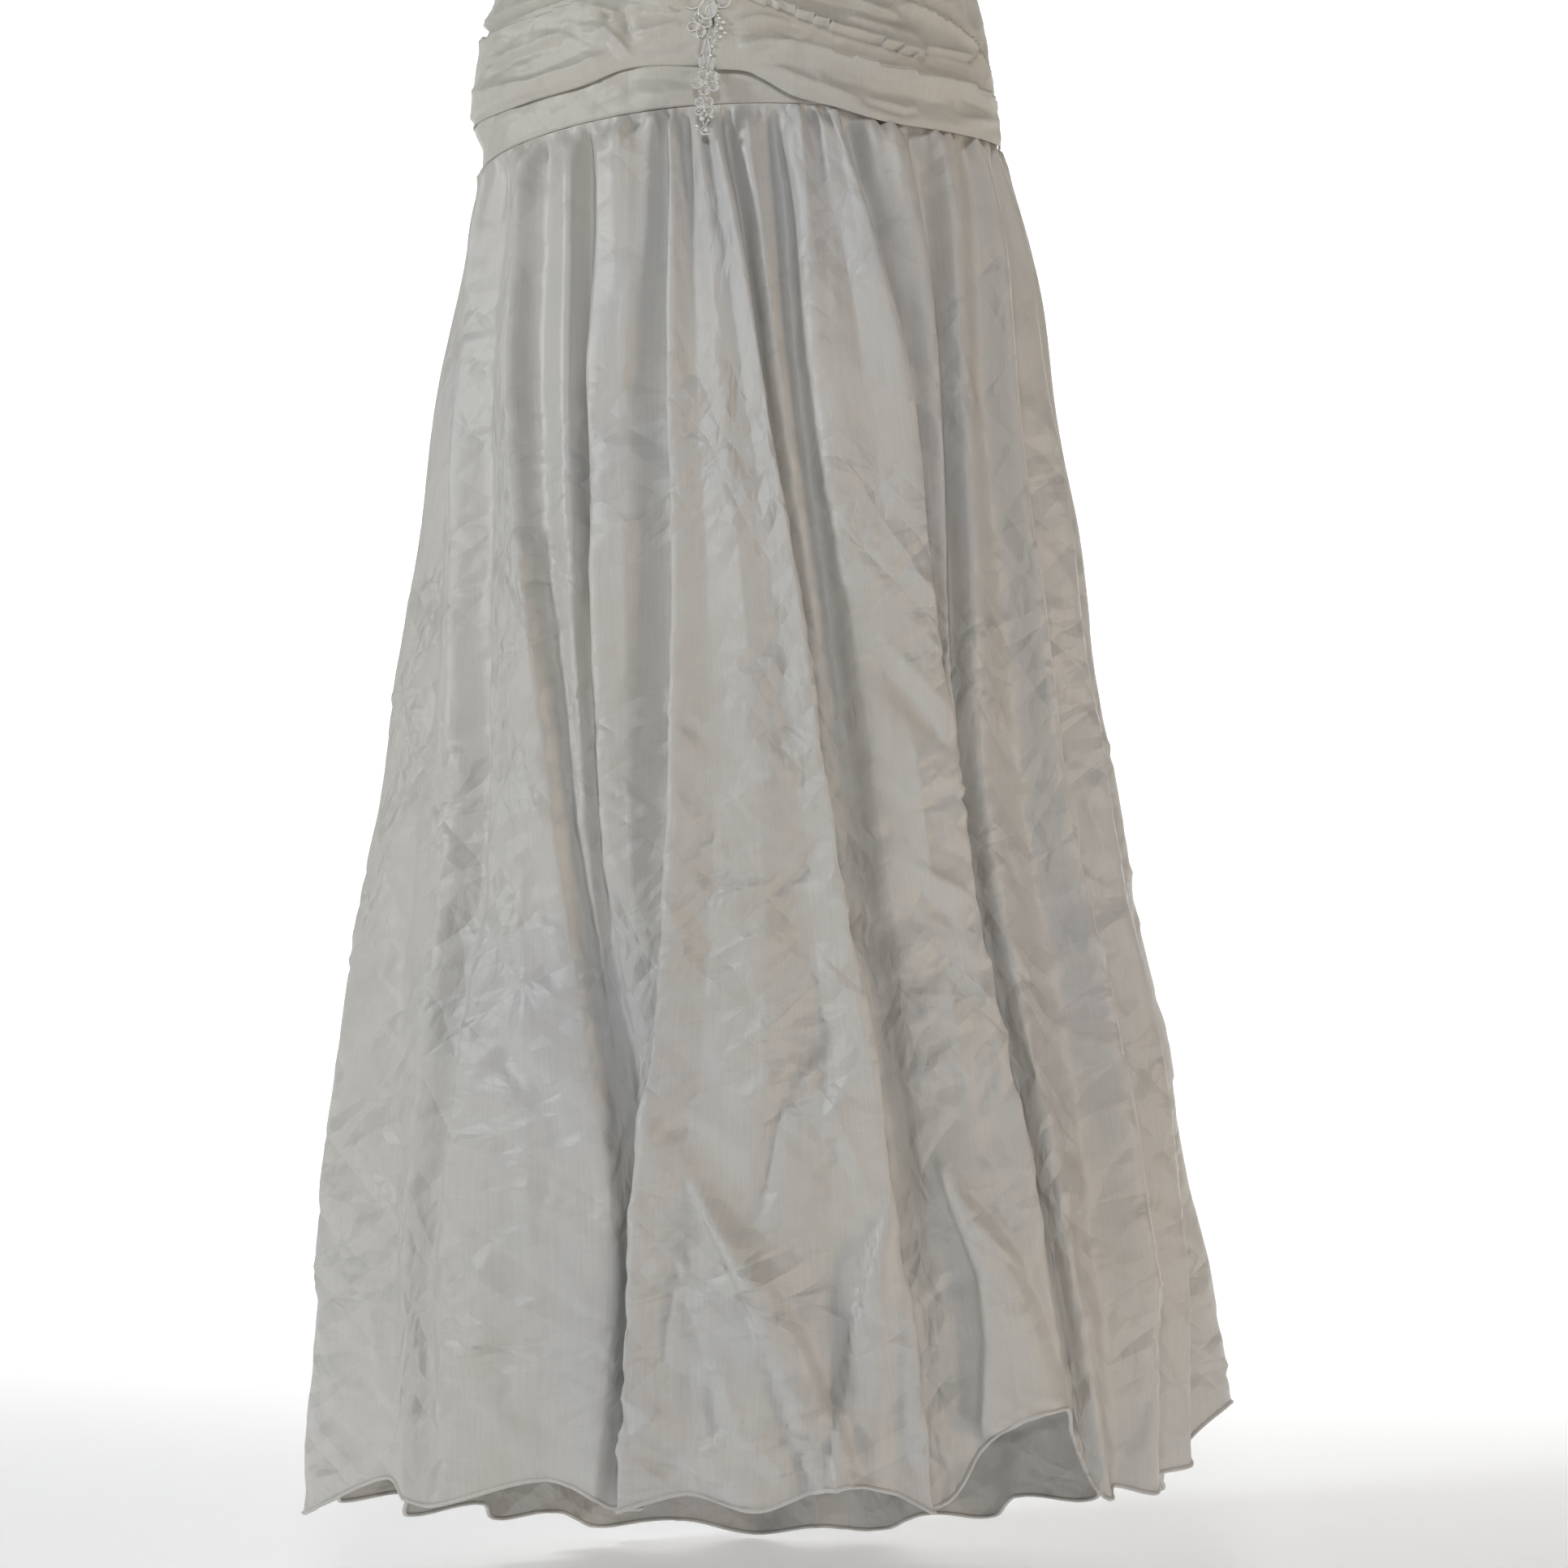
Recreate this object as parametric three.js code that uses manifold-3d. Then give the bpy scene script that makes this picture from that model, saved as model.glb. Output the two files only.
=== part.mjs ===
// Wedding dress: a full-length strapless gown in satin taffeta, filled out as it is worn, with no wearer.
// Millimetres, +Z up, the front faces -Y. The origin is the middle of the natural waist, where the
// wearer's waist carries the dress. Angles go round the body from centre front (0), through the wearer's
// left side (90) and centre back (180) to the wearer's right side (-90 or 270).

import * as THREE from 'three';
import Module from 'manifold-3d';

const wasm = await Module();
wasm.setup();

// ---- Driving dimensions ----

const CLOTH = 1.5;            // thickness of a cloth wall
const SEAM_GAP = 0.3;         // left open where two pieces are sewn together
const HEM_ROLL = 0.6;         // the rolled hem stands this far out of the cloth on each face
const HEM_START = 0.985;      // share of the skirt's length where the rolled hem starts

const SEAM_AT_FRONT = -150;   // height of the waist seam at centre front
const SEAM_DIP = 17;          // how much lower the seam is at the sides and back
const SEAM_TILT = 6;          // the seam is this much higher on the wearer's left, lower on the right

const NECK_AT_SIDE = 165;     // height of the top edge at the side seams
const NECK_AT_BACK = 120;     // height of the top edge at centre back
const CUP_RISE = 30;          // rise of the top edge over each cup
const CUP_ANGLE = 29;         // each cup's place round the body
const CUP_SPREAD = 19;        // half width of a cup, as an angle
const CUP_HEIGHT = 112;       // height of a cup's middle
const CUP_TALL = 46;          // half height of a cup
const CUP_OUT = 13;           // how far a cup stands out

// Plain body sections that every piece follows: half width, depth to the front and to the back, and
// how far the section leans to the wearer's left.
const SECTIONS = [
  { z: 205, half: 154, front: 100, back: 93, lean: 0 },
  { z: 120, half: 157, front: 111, back: 97, lean: 0 },
  { z: 60, half: 148, front: 103, back: 93, lean: -1 },
  { z: 0, half: 146, front: 98, back: 92, lean: -4 },
  { z: -80, half: 168, front: 106, back: 105, lean: -7 },
  { z: -150, half: 178, front: 113, back: 117, lean: -7 },
  { z: -225, half: 192, front: 127, back: 133, lean: -3 },
  { z: -340, half: 210, front: 143, back: 152, lean: -3 },
  { z: -450, half: 226, front: 153, back: 170, lean: -2 },
  { z: -560, half: 241, front: 163, back: 188, lean: -2 },
  { z: -680, half: 261, front: 172, back: 210, lean: -1 },
  { z: -790, half: 282, front: 180, back: 233, lean: 1 },
  { z: -900, half: 295, front: 188, back: 253, lean: 2 },
  { z: -1010, half: 301, front: 194, back: 274, lean: 3 },
  { z: -1195, half: 304, front: 200, back: 298, lean: 2 },
];

// The fold tables give each crest and valley its angle, its distance out from the plain body at five
// levels down the skirt (0 at the waist seam, 1 at the hem), the height of the hem there, and the
// number of facets up to the next line. A valley may pass under the crest beside it.
const FOLD_LEVELS = [0, 0.2, 0.5, 0.8, 1];

const FRONT_FOLDS = [
  { line: 'right side seam', angle: [-90, -90, -90, -90, -90],
    out: [-4, -6, -6, -5, -3], hem: -1104, facets: 3 },
  { line: 'side crest', angle: [-82, -81, -80, -79, -78], out: [2, 6, 9, 9, 12], hem: -1110, facets: 4 },
  { line: 'side valley', angle: [-76, -71, -64, -52, -50],
    out: [-4, -8, -12, -11, -8], hem: -1068, facets: 3 },
  { line: 'thin ridge', angle: [-70, -61, -47, -46, -43], out: [4, 4, 1, -3, 2], hem: -1076, facets: 2 },
  { line: 'shadow valley', angle: [-59, -51, -39.5, -41, -39],
    out: [-5, -8, -12, -9, 3], hem: -1078, facets: 3 },
  { line: 'low panel left', angle: [-53, -45.5, -34.5, -36.5, -35],
    out: [-1, 1, 6, 8, 7], hem: -1074, facets: 3 },
  { line: 'low panel', angle: [-50, -42.5, -29, -22, -20], out: [4, 6, 10, 11, -2], hem: -1053, facets: 4 },
  { line: 'low panel right', angle: [-47, -40, -23.3, -11, -13],
    out: [6, 9, 10, 8, 3], hem: -1062, facets: 1 },
  { line: 'left valley', angle: [-42, -35.5, -21, -9.6, -11.5],
    out: [-6, -6, -4, -2, -3], hem: -1068, facets: 1 },
  { line: 'left gather', angle: [-33, -26.5, -18.5, -8.6, -10.4],
    out: [5, 6, 1, -7, -7], hem: -1069, facets: 1 },
  { line: 'deep valley', angle: [-28.5, -24, -16.8, -7.4, -9.2],
    out: [-8, -12, -6, -9, -8], hem: -1068, facets: 1 },
  { line: 'second panel left', angle: [-24, -21.2, -15.2, -6.4, -8.2],
    out: [6, 7, 4, -7, -7], hem: -1067, facets: 3 },
  { line: 'second panel', angle: [-17, -15, -11, -6, -7.8], out: [7, 7, 2, -2, -2], hem: -1067, facets: 3 },
  { line: 'under centre panel', angle: [-10, -7.2, -5.2, -7, -9.4],
    out: [-6, -7, -7, 5, 2], hem: -1067, facets: 2 },
  { line: 'centre panel left', angle: [-8.2, -6, -4, -8, -9.8],
    out: [6, 9, 11, 12, 8], hem: -1068, facets: 3 },
  { line: 'centre gather', angle: [-5.4, -1.5, 2, -1, -1.5], out: [-3, 5, 7, 7, 1], hem: -1056, facets: 3 },
  { line: 'centre panel', angle: [-2.6, 3, 9, 8, 7], out: [4, 8, 10, 11, 8], hem: -1064, facets: 3 },
  { line: 'centre dip', angle: [-1, 6.6, 14.6, 17, 19], out: [2, 7, 8, 3, -4], hem: -1046, facets: 3 },
  { line: 'centre panel right', angle: [1, 10.3, 19.4, 25, 29],
    out: [7, 12, 14, 12, 8], hem: -1066, facets: 1 },
  { line: 'centre valley', angle: [2.6, 9.9, 19, 24.8, 29.6],
    out: [-8, -7, -8, -7, -3], hem: -1066, facets: 1 },
  { line: 'third gather', angle: [7.5, 13, 21.2, 26.6, 31], out: [4, 4, -8, -8, -4], hem: -1064, facets: 2 },
  { line: 'third valley', angle: [14, 17, 23.6, 28, 33], out: [-7, -10, -6, -5, -4], hem: -1056, facets: 1 },
  { line: 'fourth panel left', angle: [17.2, 20, 26.3, 30, 36],
    out: [5, 7, 5, 1, -3], hem: -1032, facets: 3 },
  { line: 'fourth panel', angle: [22, 28.5, 33, 36.5, 41], out: [3, 9, 10, 8, 4], hem: -1010, facets: 3 },
  { line: 'fourth panel right', angle: [26.6, 36.4, 39.4, 43.6, 47.6],
    out: [7, 12, 11, 12, 12], hem: -1004, facets: 1 },
  { line: 'fourth valley', angle: [29.4, 36.9, 40.1, 45, 50.4],
    out: [-7, -5, -1, 3, 2], hem: -1020, facets: 1 },
  { line: 'small gather', angle: [35, 39.3, 40.9, 45.8, 51.4],
    out: [3, 1, -3, -1, -1], hem: -1032, facets: 1 },
  { line: 'fifth panel right', angle: [43, 43.7, 41.6, 46.6, 52.4],
    out: [6, 9, -2, -1, 0], hem: -1042, facets: 1 },
  { line: 'thin valley', angle: [46.8, 46.2, 42.6, 47.4, 53.6],
    out: [-8, -10, -5, 1, 2], hem: -1054, facets: 1 },
  { line: 'bright ridge', angle: [55, 50, 45, 49.6, 55.6], out: [6, 8, 10, 10, 9], hem: -1066, facets: 3 },
  { line: 'sixth valley', angle: [65, 59, 57, 57.5, 60], out: [-5, -8, -9, -7, -5], hem: -1062, facets: 3 },
  { line: 'long crest', angle: [72, 64.6, 64, 67, 66], out: [5, 8, 9, 11, 10], hem: -1068, facets: 3 },
  { line: 'left side valley', angle: [79, 72.5, 71, 74.5, 74],
    out: [-4, -5, -6, -5, -5], hem: -1062, facets: 3 },
  { line: 'left side crest', angle: [85, 82, 80, 82.5, 82], out: [3, 7, 9, 7, 5], hem: -1060, facets: 3 },
];

const BACK_LEFT_FOLDS = [
  { line: 'left side seam', angle: [91, 91, 91, 91, 91], out: [-4, -5, -5, -5, -2], hem: -1052, facets: 2 },
  { line: 'flare', angle: [98, 98, 98, 100, 101], out: [4, 7, 8, 11, 34], hem: -1032, facets: 3 },
  { line: 'flare valley', angle: [106, 106, 107, 109, 111],
    out: [-6, -9, -11, -12, -9], hem: -1080, facets: 2 },
  { line: 'crest', angle: [114, 114, 116, 118, 119], out: [5, 8, 10, 13, 12], hem: -1112, facets: 3 },
  { line: 'valley', angle: [122, 124, 126, 127, 128], out: [-7, -10, -12, -13, -9], hem: -1110, facets: 2 },
  { line: 'crest', angle: [130, 133, 136, 136, 137], out: [6, 9, 12, 14, 15], hem: -1138, facets: 3 },
  { line: 'valley', angle: [137, 142, 145, 145, 146], out: [-6, -8, -10, -12, -8], hem: -1138, facets: 2 },
  { line: 'small crest', angle: [145, 149, 152, 153, 154], out: [6, 7, 8, 11, 11], hem: -1164, facets: 3 },
  { line: 'valley', angle: [153, 156, 159, 161, 162], out: [-7, -10, -13, -13, -9], hem: -1162, facets: 2 },
  { line: 'inner crest', angle: [162, 165, 169, 170, 171], out: [6, 9, 12, 14, 14], hem: -1184, facets: 3 },
  { line: 'tuck', angle: [171, 173, 174.5, 175, 175.5], out: [-2, -4, -2, 3, 5], hem: -1184, facets: 2 },
];

const BACK_RIGHT_FOLDS = [
  { line: 'centre back seam', angle: [180, 180, 180, 180, 180],
    out: [-5, -7, -8, -8, -5], hem: -1180, facets: 2 },
  { line: 'inner crest', angle: [188, 188, 189, 190, 190], out: [5, 9, 12, 15, 14], hem: -1190, facets: 3 },
  { line: 'valley', angle: [196, 197, 199, 201, 201], out: [-6, -9, -11, -12, -9], hem: -1172, facets: 2 },
  { line: 'crest', angle: [204, 206, 209, 211, 212], out: [6, 8, 10, 13, 14], hem: -1180, facets: 3 },
  { line: 'valley', angle: [212, 215, 218, 220, 221], out: [-7, -10, -13, -13, -10], hem: -1158, facets: 2 },
  { line: 'small crest', angle: [219, 222, 225, 227, 228], out: [5, 6, 8, 10, 11], hem: -1164, facets: 2 },
  { line: 'valley', angle: [226, 229, 232, 233, 234], out: [-5, -6, -8, -10, -8], hem: -1144, facets: 2 },
  { line: 'crest', angle: [234, 236, 238, 241, 243], out: [6, 9, 12, 15, 15], hem: -1150, facets: 3 },
  { line: 'valley', angle: [243, 244, 246, 249, 251], out: [-7, -9, -12, -13, -10], hem: -1122, facets: 2 },
  { line: 'side crest', angle: [254, 254, 255, 258, 260], out: [5, 8, 11, 13, 12], hem: -1122, facets: 3 },
  { line: 'side valley', angle: [263, 263, 263, 264, 265], out: [-2, -2, 0, 2, 2], hem: -1108, facets: 2 },
];

const SKIRT_ROWS = [0, 0.05, 0.12, 0.2, 0.3, 0.4, 0.5, 0.6, 0.7, 0.8, 0.9, HEM_START, 1];

// The two pleated drapes: the lower edge round from centre front to the side seam, the pleats from the
// top down with the height of each and how far its lower fold stands out, how far the cloth stands off
// the bodice at the side, how much further the lowest pleat bags out there, and the share of its depth
// that is left where its edge turns in.
const DRAPES = {
  right: {
    lower: [
      { angle: -1.4, z: -125 },
      { angle: -18, z: -126 },
      { angle: -35, z: -134 },
      { angle: -60, z: -141 },
      { angle: -89.6, z: -149 },
    ],
    pleats: [
      { height: 26, out: 3.6 },
      { height: 23, out: 4.4 },
      { height: 31, out: 4.8 },
      { height: 21, out: 3.2 },
      { height: 28, out: 4.6 },
      { height: 17, out: 3.2 },
      { height: 20, out: 3.8 },
      { height: 46, out: 4.6 },
    ],
    slack: 4,
    bag: 5,
    turn: 0.35,
  },
  left: {
    lower: [
      { angle: 1.4, z: -127 },
      { angle: 14, z: -136 },
      { angle: 28, z: -151 },
      { angle: 48, z: -159 },
      { angle: 89.6, z: -164 },
    ],
    pleats: [
      { height: 29, out: 4 },
      { height: 24, out: 4.4 },
      { height: 27, out: 3.6 },
      { height: 22, out: 4.4 },
      { height: 28, out: 4.2 },
      { height: 27, out: 4.8 },
      { height: 25, out: 3.8 },
      { height: 32, out: 8 },
    ],
    slack: 0,
    bag: 1,
    turn: 0.8,
  },
};
const DRAPE_TOP_AT_FRONT = 88;   // height of a drape's upper edge at centre front
const DRAPE_TOP_AT_SIDE = 62;    // and at the side seam
const DRAPE_COLUMNS = 12;
const PLEAT_LIFT = 2.6;          // outer face of a drape where a pleat starts
const PLEAT_OUT_AT_FRONT = 1.6;  // the pleats are pressed flat under the applique
const PRESSED_SHARE = 0.2;       // share of a drape's width over which they open out from there
const PLEAT_PROFILE = [          // down one pleat: share of its height, share of its fold's depth
  { down: 0, out: 0 },
  { down: 0.45, out: 0.62 },
  { down: 0.9, out: 1 },
];

const BODICE_ROWS = 14;
const BODICE_FRONT_COLUMNS = 24;
const BODICE_BACK_COLUMNS = 10;

// The applique is a chain of flowers and leaves: height of each motif's middle, place to the side,
// radius, and number of petals (0 for a single drop).
const MOTIFS = [
  { z: 146, x: 0, radius: 12, petals: 5 },
  { z: 122, x: -6, radius: 10, petals: 4 },
  { z: 101, x: 3, radius: 14, petals: 5 },
  { z: 77, x: -6, radius: 10, petals: 4 },
  { z: 57, x: 3, radius: 13, petals: 5 },
  { z: 34, x: -5, radius: 10, petals: 4 },
  { z: 14, x: 2, radius: 14, petals: 5 },
  { z: -9, x: -6, radius: 10, petals: 4 },
  { z: -29, x: 3, radius: 12, petals: 5 },
  { z: -56, x: 0, radius: 15, petals: 5 },
  { z: -79, x: -6, radius: 10, petals: 4 },
  { z: -84, x: 9, radius: 8, petals: 5 },
  { z: -101, x: 0, radius: 9, petals: 4 },
  { z: -119, x: 1, radius: 10, petals: 5 },
  { z: -136, x: -1, radius: 9, petals: 4 },
  { z: -151, x: 1, radius: 8, petals: 5 },
  { z: -165, x: 1, radius: 6, petals: 0 },
];
const LACE_THICK = 1.6;
const LACE_OVER_BODICE = 6.6;    // outer face of the applique over the drapes
const LACE_OVER_SKIRT = 12.4;    // and over the gathers below the seam
const LACE_STEP = -122;          // height where it starts to rise over the gathers
const STEM_HALF = 2.6;           // half width of the stem that joins the motifs
const STEM_SWAY = 1.5;           // how far the stem swings to each side
const STEM_WAVE = 42;            // height of one swing of the stem
const STEM_POINTS = 16;
const PETAL_NOTCH = 0.34;        // depth of the notch between petals, as a share of the radius
const PETAL_POINTS = 4;
const NOTCH_SHARPNESS = 2.6;
const STAMEN_RADIUS = 2.6;       // raised centre of a flower, at its foot
const STAMEN_TIP = 1.6;          // and at its top
const STAMEN_SIDES = 6;
const STAMEN_RISE = 1.5;
const STAMEN_ROOT = 0.8;         // depth of its foot in the lace
const LACE_EASE = 0.15;          // points of the outline nearer than this to its line are left out

const ZIP_WIDTH = 10;
const ZIP_THICK = 1.2;
const ZIP_TOP = 108;
const ZIP_BOTTOM = -330;
const ZIP_STEPS = 14;
const ZIP_EASE = 1.2;            // room between the seam and the tape

// ---- Shared form ----

const radian = Math.PI / 180;

// A smooth value at `at` between the table values `ys`, given at the places `xs` in rising order.
function smooth(xs, ys, at) {
  const last = xs.length - 1;
  if (at <= xs[0]) return ys[0];
  if (at >= xs[last]) return ys[last];
  let i = 0;
  while (at > xs[i + 1]) i += 1;
  const slope = (k) => {
    const before = Math.max(k - 1, 0);
    const after = Math.min(k + 1, last);
    return (ys[after] - ys[before]) / (xs[after] - xs[before]);
  };
  const span = xs[i + 1] - xs[i];
  const t = (at - xs[i]) / span;
  const t2 = t * t;
  const t3 = t2 * t;
  return (2 * t3 - 3 * t2 + 1) * ys[i] + (t3 - 2 * t2 + t) * span * slope(i)
    + (3 * t2 - 2 * t3) * ys[i + 1] + (t3 - t2) * span * slope(i + 1);
}

function column(table, name) {
  return table.map((row) => row[name]);
}

const sectionDepths = column(SECTIONS, 'z').map((z) => -z);

function sectionSize(name, z) {
  return smooth(sectionDepths, column(SECTIONS, name), -z);
}

// A point on the plain body at an angle and a height, moved straight out from it.
function bodyPoint(angle, z, out) {
  const sin = Math.sin(angle * radian);
  const cos = Math.cos(angle * radian);
  const half = sectionSize('half', z);
  const depth = sectionSize(cos > 0 ? 'front' : 'back', z);
  const normal = new THREE.Vector2(sin / half, -cos / depth).normalize();
  const lean = sectionSize('lean', z);
  return new THREE.Vector3(half * sin + normal.x * out + lean, -depth * cos + normal.y * out, z);
}

function bell(distance) {
  return Math.exp(-distance * distance);
}

// How far the cups stand out of the plain body.
function cupOut(angle, z) {
  if (Math.cos(angle * radian) < 0) return 0;
  const across = (Math.abs(angle) - CUP_ANGLE) / CUP_SPREAD;
  return CUP_OUT * bell(across) * bell((z - CUP_HEIGHT) / CUP_TALL);
}

function seamHeight(angle) {
  const sin = Math.sin(angle * radian);
  const dip = Math.cos(angle * radian) > 0 ? sin * sin : 1;
  return SEAM_AT_FRONT - SEAM_DIP * dip + SEAM_TILT * sin;
}

function neckHeight(angle) {
  if (Math.cos(angle * radian) > 0) {
    return NECK_AT_SIDE + CUP_RISE * bell((Math.abs(angle) - CUP_ANGLE) / CUP_SPREAD);
  }
  const share = (1 + Math.cos(2 * angle * radian)) / 2;
  return NECK_AT_SIDE + (NECK_AT_BACK - NECK_AT_SIDE) * share;
}

// A closed wall of cloth from two grids of points, outer and inner, with the rows running down and
// the points of a row running round by rising angle.
function clothWall(outer, inner) {
  const rows = outer.length;
  const columns = outer[0].length;
  const positions = [];
  for (const grid of [outer, inner]) {
    for (const row of grid) {
      for (const point of row) positions.push(point.x, point.y, point.z);
    }
  }
  const out = (r, c) => r * columns + c;
  const into = (r, c) => rows * columns + r * columns + c;
  const index = [];
  const quad = (a, b, c, d) => index.push(a, b, c, a, c, d);
  for (let r = 0; r < rows - 1; r += 1) {
    for (let c = 0; c < columns - 1; c += 1) {
      quad(out(r, c), out(r + 1, c), out(r + 1, c + 1), out(r, c + 1));
      quad(into(r, c), into(r, c + 1), into(r + 1, c + 1), into(r + 1, c));
    }
  }
  for (let c = 0; c < columns - 1; c += 1) {
    quad(out(0, c), out(0, c + 1), into(0, c + 1), into(0, c));
    quad(out(rows - 1, c + 1), out(rows - 1, c), into(rows - 1, c), into(rows - 1, c + 1));
  }
  for (let r = 0; r < rows - 1; r += 1) {
    quad(out(r, 0), into(r, 0), into(r + 1, 0), out(r + 1, 0));
    quad(out(r, columns - 1), out(r + 1, columns - 1), into(r + 1, columns - 1), into(r, columns - 1));
  }
  const geometry = new THREE.BufferGeometry();
  geometry.setAttribute('position', new THREE.Float32BufferAttribute(positions, 3));
  geometry.setIndex(index);
  geometry.computeVertexNormals();
  return geometry;
}

// ---- Materials ----

const satin = new THREE.MeshStandardMaterial({ color: 0xc3c3be, roughness: 0.42, metalness: 0 });
const lace = new THREE.MeshStandardMaterial({ color: 0xd2cfc4, roughness: 0.5, metalness: 0 });
const tape = new THREE.MeshStandardMaterial({ color: 0xc8c6bf, roughness: 0.7, metalness: 0 });

const dress = new THREE.Group();

function addPiece(name, geometry, material) {
  const mesh = new THREE.Mesh(geometry, material);
  mesh.name = name;
  dress.add(mesh);
}

// ---- Skirt ----

const SKIRT_FOLDS = [...FRONT_FOLDS, ...BACK_LEFT_FOLDS, ...BACK_RIGHT_FOLDS];

// The closed curve round the skirt at a share of its length.
function skirtRing(share) {
  const points = SKIRT_FOLDS.map((fold) => {
    const angle = smooth(FOLD_LEVELS, fold.angle, share);
    const out = smooth(FOLD_LEVELS, fold.out, share);
    const top = seamHeight(fold.angle[0]) - SEAM_GAP / 2;
    return bodyPoint(angle, top + (fold.hem - top) * share, out);
  });
  return new THREE.CatmullRomCurve3(points, true, 'centripetal');
}

// A skirt panel between two seam lines of the fold table.
function skirtPanel(firstFold, lastFold) {
  const places = [];
  for (let i = firstFold; i < lastFold; i += 1) {
    for (let k = 0; k < SKIRT_FOLDS[i].facets; k += 1) places.push(i + k / SKIRT_FOLDS[i].facets);
  }
  places.push(lastFold);
  const outer = [];
  const inner = [];
  for (const share of SKIRT_ROWS) {
    const ring = skirtRing(share);
    const roll = share >= HEM_START ? HEM_ROLL : 0;
    const outerRow = [];
    const innerRow = [];
    for (const place of places) {
      const around = (place / SKIRT_FOLDS.length) % 1;
      const tangent = ring.getTangent(around);
      const normal = new THREE.Vector3(tangent.y, -tangent.x, 0).normalize();
      const point = ring.getPoint(around);
      if (place === firstFold) point.addScaledVector(tangent, SEAM_GAP / 2);
      if (place === lastFold) point.addScaledVector(tangent, -SEAM_GAP / 2);
      outerRow.push(point.clone().addScaledVector(normal, roll));
      innerRow.push(point.clone().addScaledVector(normal, -CLOTH - roll));
    }
    outer.push(outerRow);
    inner.push(innerRow);
  }
  return clothWall(outer, inner);
}

const leftSeam = FRONT_FOLDS.length;
const backSeam = leftSeam + BACK_LEFT_FOLDS.length;
addPiece('skirt_front', skirtPanel(0, leftSeam), satin);
addPiece('skirt_back_left', skirtPanel(leftSeam, backSeam), satin);
addPiece('skirt_back_right', skirtPanel(backSeam, SKIRT_FOLDS.length), satin);

// ---- Bodice ----

// Half of the seam gap as an angle, at the body's mean radius.
const GAP_ANGLE = 0.075;

function bodicePanel(fromAngle, toAngle, columns) {
  const outer = [];
  const inner = [];
  for (let r = 0; r <= BODICE_ROWS; r += 1) {
    const outerRow = [];
    const innerRow = [];
    for (let c = 0; c <= columns; c += 1) {
      const angle = fromAngle + GAP_ANGLE + (toAngle - fromAngle - 2 * GAP_ANGLE) * (c / columns);
      const low = seamHeight(angle) + SEAM_GAP / 2;
      const z = neckHeight(angle) + (low - neckHeight(angle)) * (r / BODICE_ROWS);
      outerRow.push(bodyPoint(angle, z, cupOut(angle, z)));
      innerRow.push(bodyPoint(angle, z, cupOut(angle, z) - CLOTH));
    }
    outer.push(outerRow);
    inner.push(innerRow);
  }
  return clothWall(outer, inner);
}

addPiece('bodice_front', bodicePanel(-90, 90, BODICE_FRONT_COLUMNS), satin);
addPiece('bodice_back_left', bodicePanel(90, 180, BODICE_BACK_COLUMNS), satin);
addPiece('bodice_back_right', bodicePanel(180, 270, BODICE_BACK_COLUMNS), satin);

// ---- Pleated drapes ----

// The stations down a drape: share of its whole height, depth of the fold there, share of the bag.
function pleatStations({ pleats, turn }) {
  const whole = pleats.reduce((sum, pleat) => sum + pleat.height, 0);
  const stations = [];
  let above = 0;
  pleats.forEach((pleat, i) => {
    const lowest = i === pleats.length - 1;
    for (const step of PLEAT_PROFILE) {
      const share = (above + pleat.height * step.down) / whole;
      stations.push({ share, out: pleat.out * step.out, open: step.out, bag: lowest ? step.down : 0 });
    }
    above += pleat.height;
    if (lowest) stations.push({ share: 1, out: pleat.out * turn, open: turn, bag: turn });
  });
  return stations;
}

// A point of a drape: `around` runs from centre front (0) to the side seam (1).
function drapePoint(drape, around, station, inward) {
  const places = drape.lower.map((row) => Math.abs(row.angle));
  const side = Math.sign(drape.lower[0].angle);
  const reach = places[0] + (places[places.length - 1] - places[0]) * around;
  const low = smooth(places, column(drape.lower, 'z'), reach);
  const high = DRAPE_TOP_AT_FRONT + (DRAPE_TOP_AT_SIDE - DRAPE_TOP_AT_FRONT) * around;
  const z = high + (low - high) * station.share;
  const pressed = bell(around / PRESSED_SHARE);
  const fold = station.out * (1 - pressed) + PLEAT_OUT_AT_FRONT * station.open * pressed;
  const loose = (drape.slack + drape.bag * station.bag) * around * around;
  const angle = side * reach;
  return bodyPoint(angle, z, cupOut(angle, z) + PLEAT_LIFT + fold + loose - inward);
}

function drapeWall(drape) {
  const stations = pleatStations(drape);
  const grid = (inward) => stations.map((station) => {
    const row = [];
    for (let c = 0; c <= DRAPE_COLUMNS; c += 1) {
      row.push(drapePoint(drape, c / DRAPE_COLUMNS, station, inward));
    }
    return drape.lower[0].angle < 0 ? row.reverse() : row;
  });
  return clothWall(grid(0), grid(CLOTH));
}

addPiece('drape_right', drapeWall(DRAPES.right), satin);
addPiece('drape_left', drapeWall(DRAPES.left), satin);

// ---- Lace applique ----

// The outline of one motif, drawn in the plane of width and height.
function motifOutline(motif) {
  const lobes = Math.max(motif.petals, 1);
  const outline = [];
  for (let i = 0; i < lobes * PETAL_POINTS; i += 1) {
    const turn = i / (lobes * PETAL_POINTS);
    const notch = PETAL_NOTCH * bell(NOTCH_SHARPNESS * Math.sin(Math.PI * lobes * turn));
    const radius = motif.radius * (1 - (motif.petals > 0 ? notch : 0));
    const angle = -2 * Math.PI * turn;
    outline.push([motif.x + radius * Math.sin(angle), motif.z + radius * Math.cos(angle)]);
  }
  return outline;
}

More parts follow.
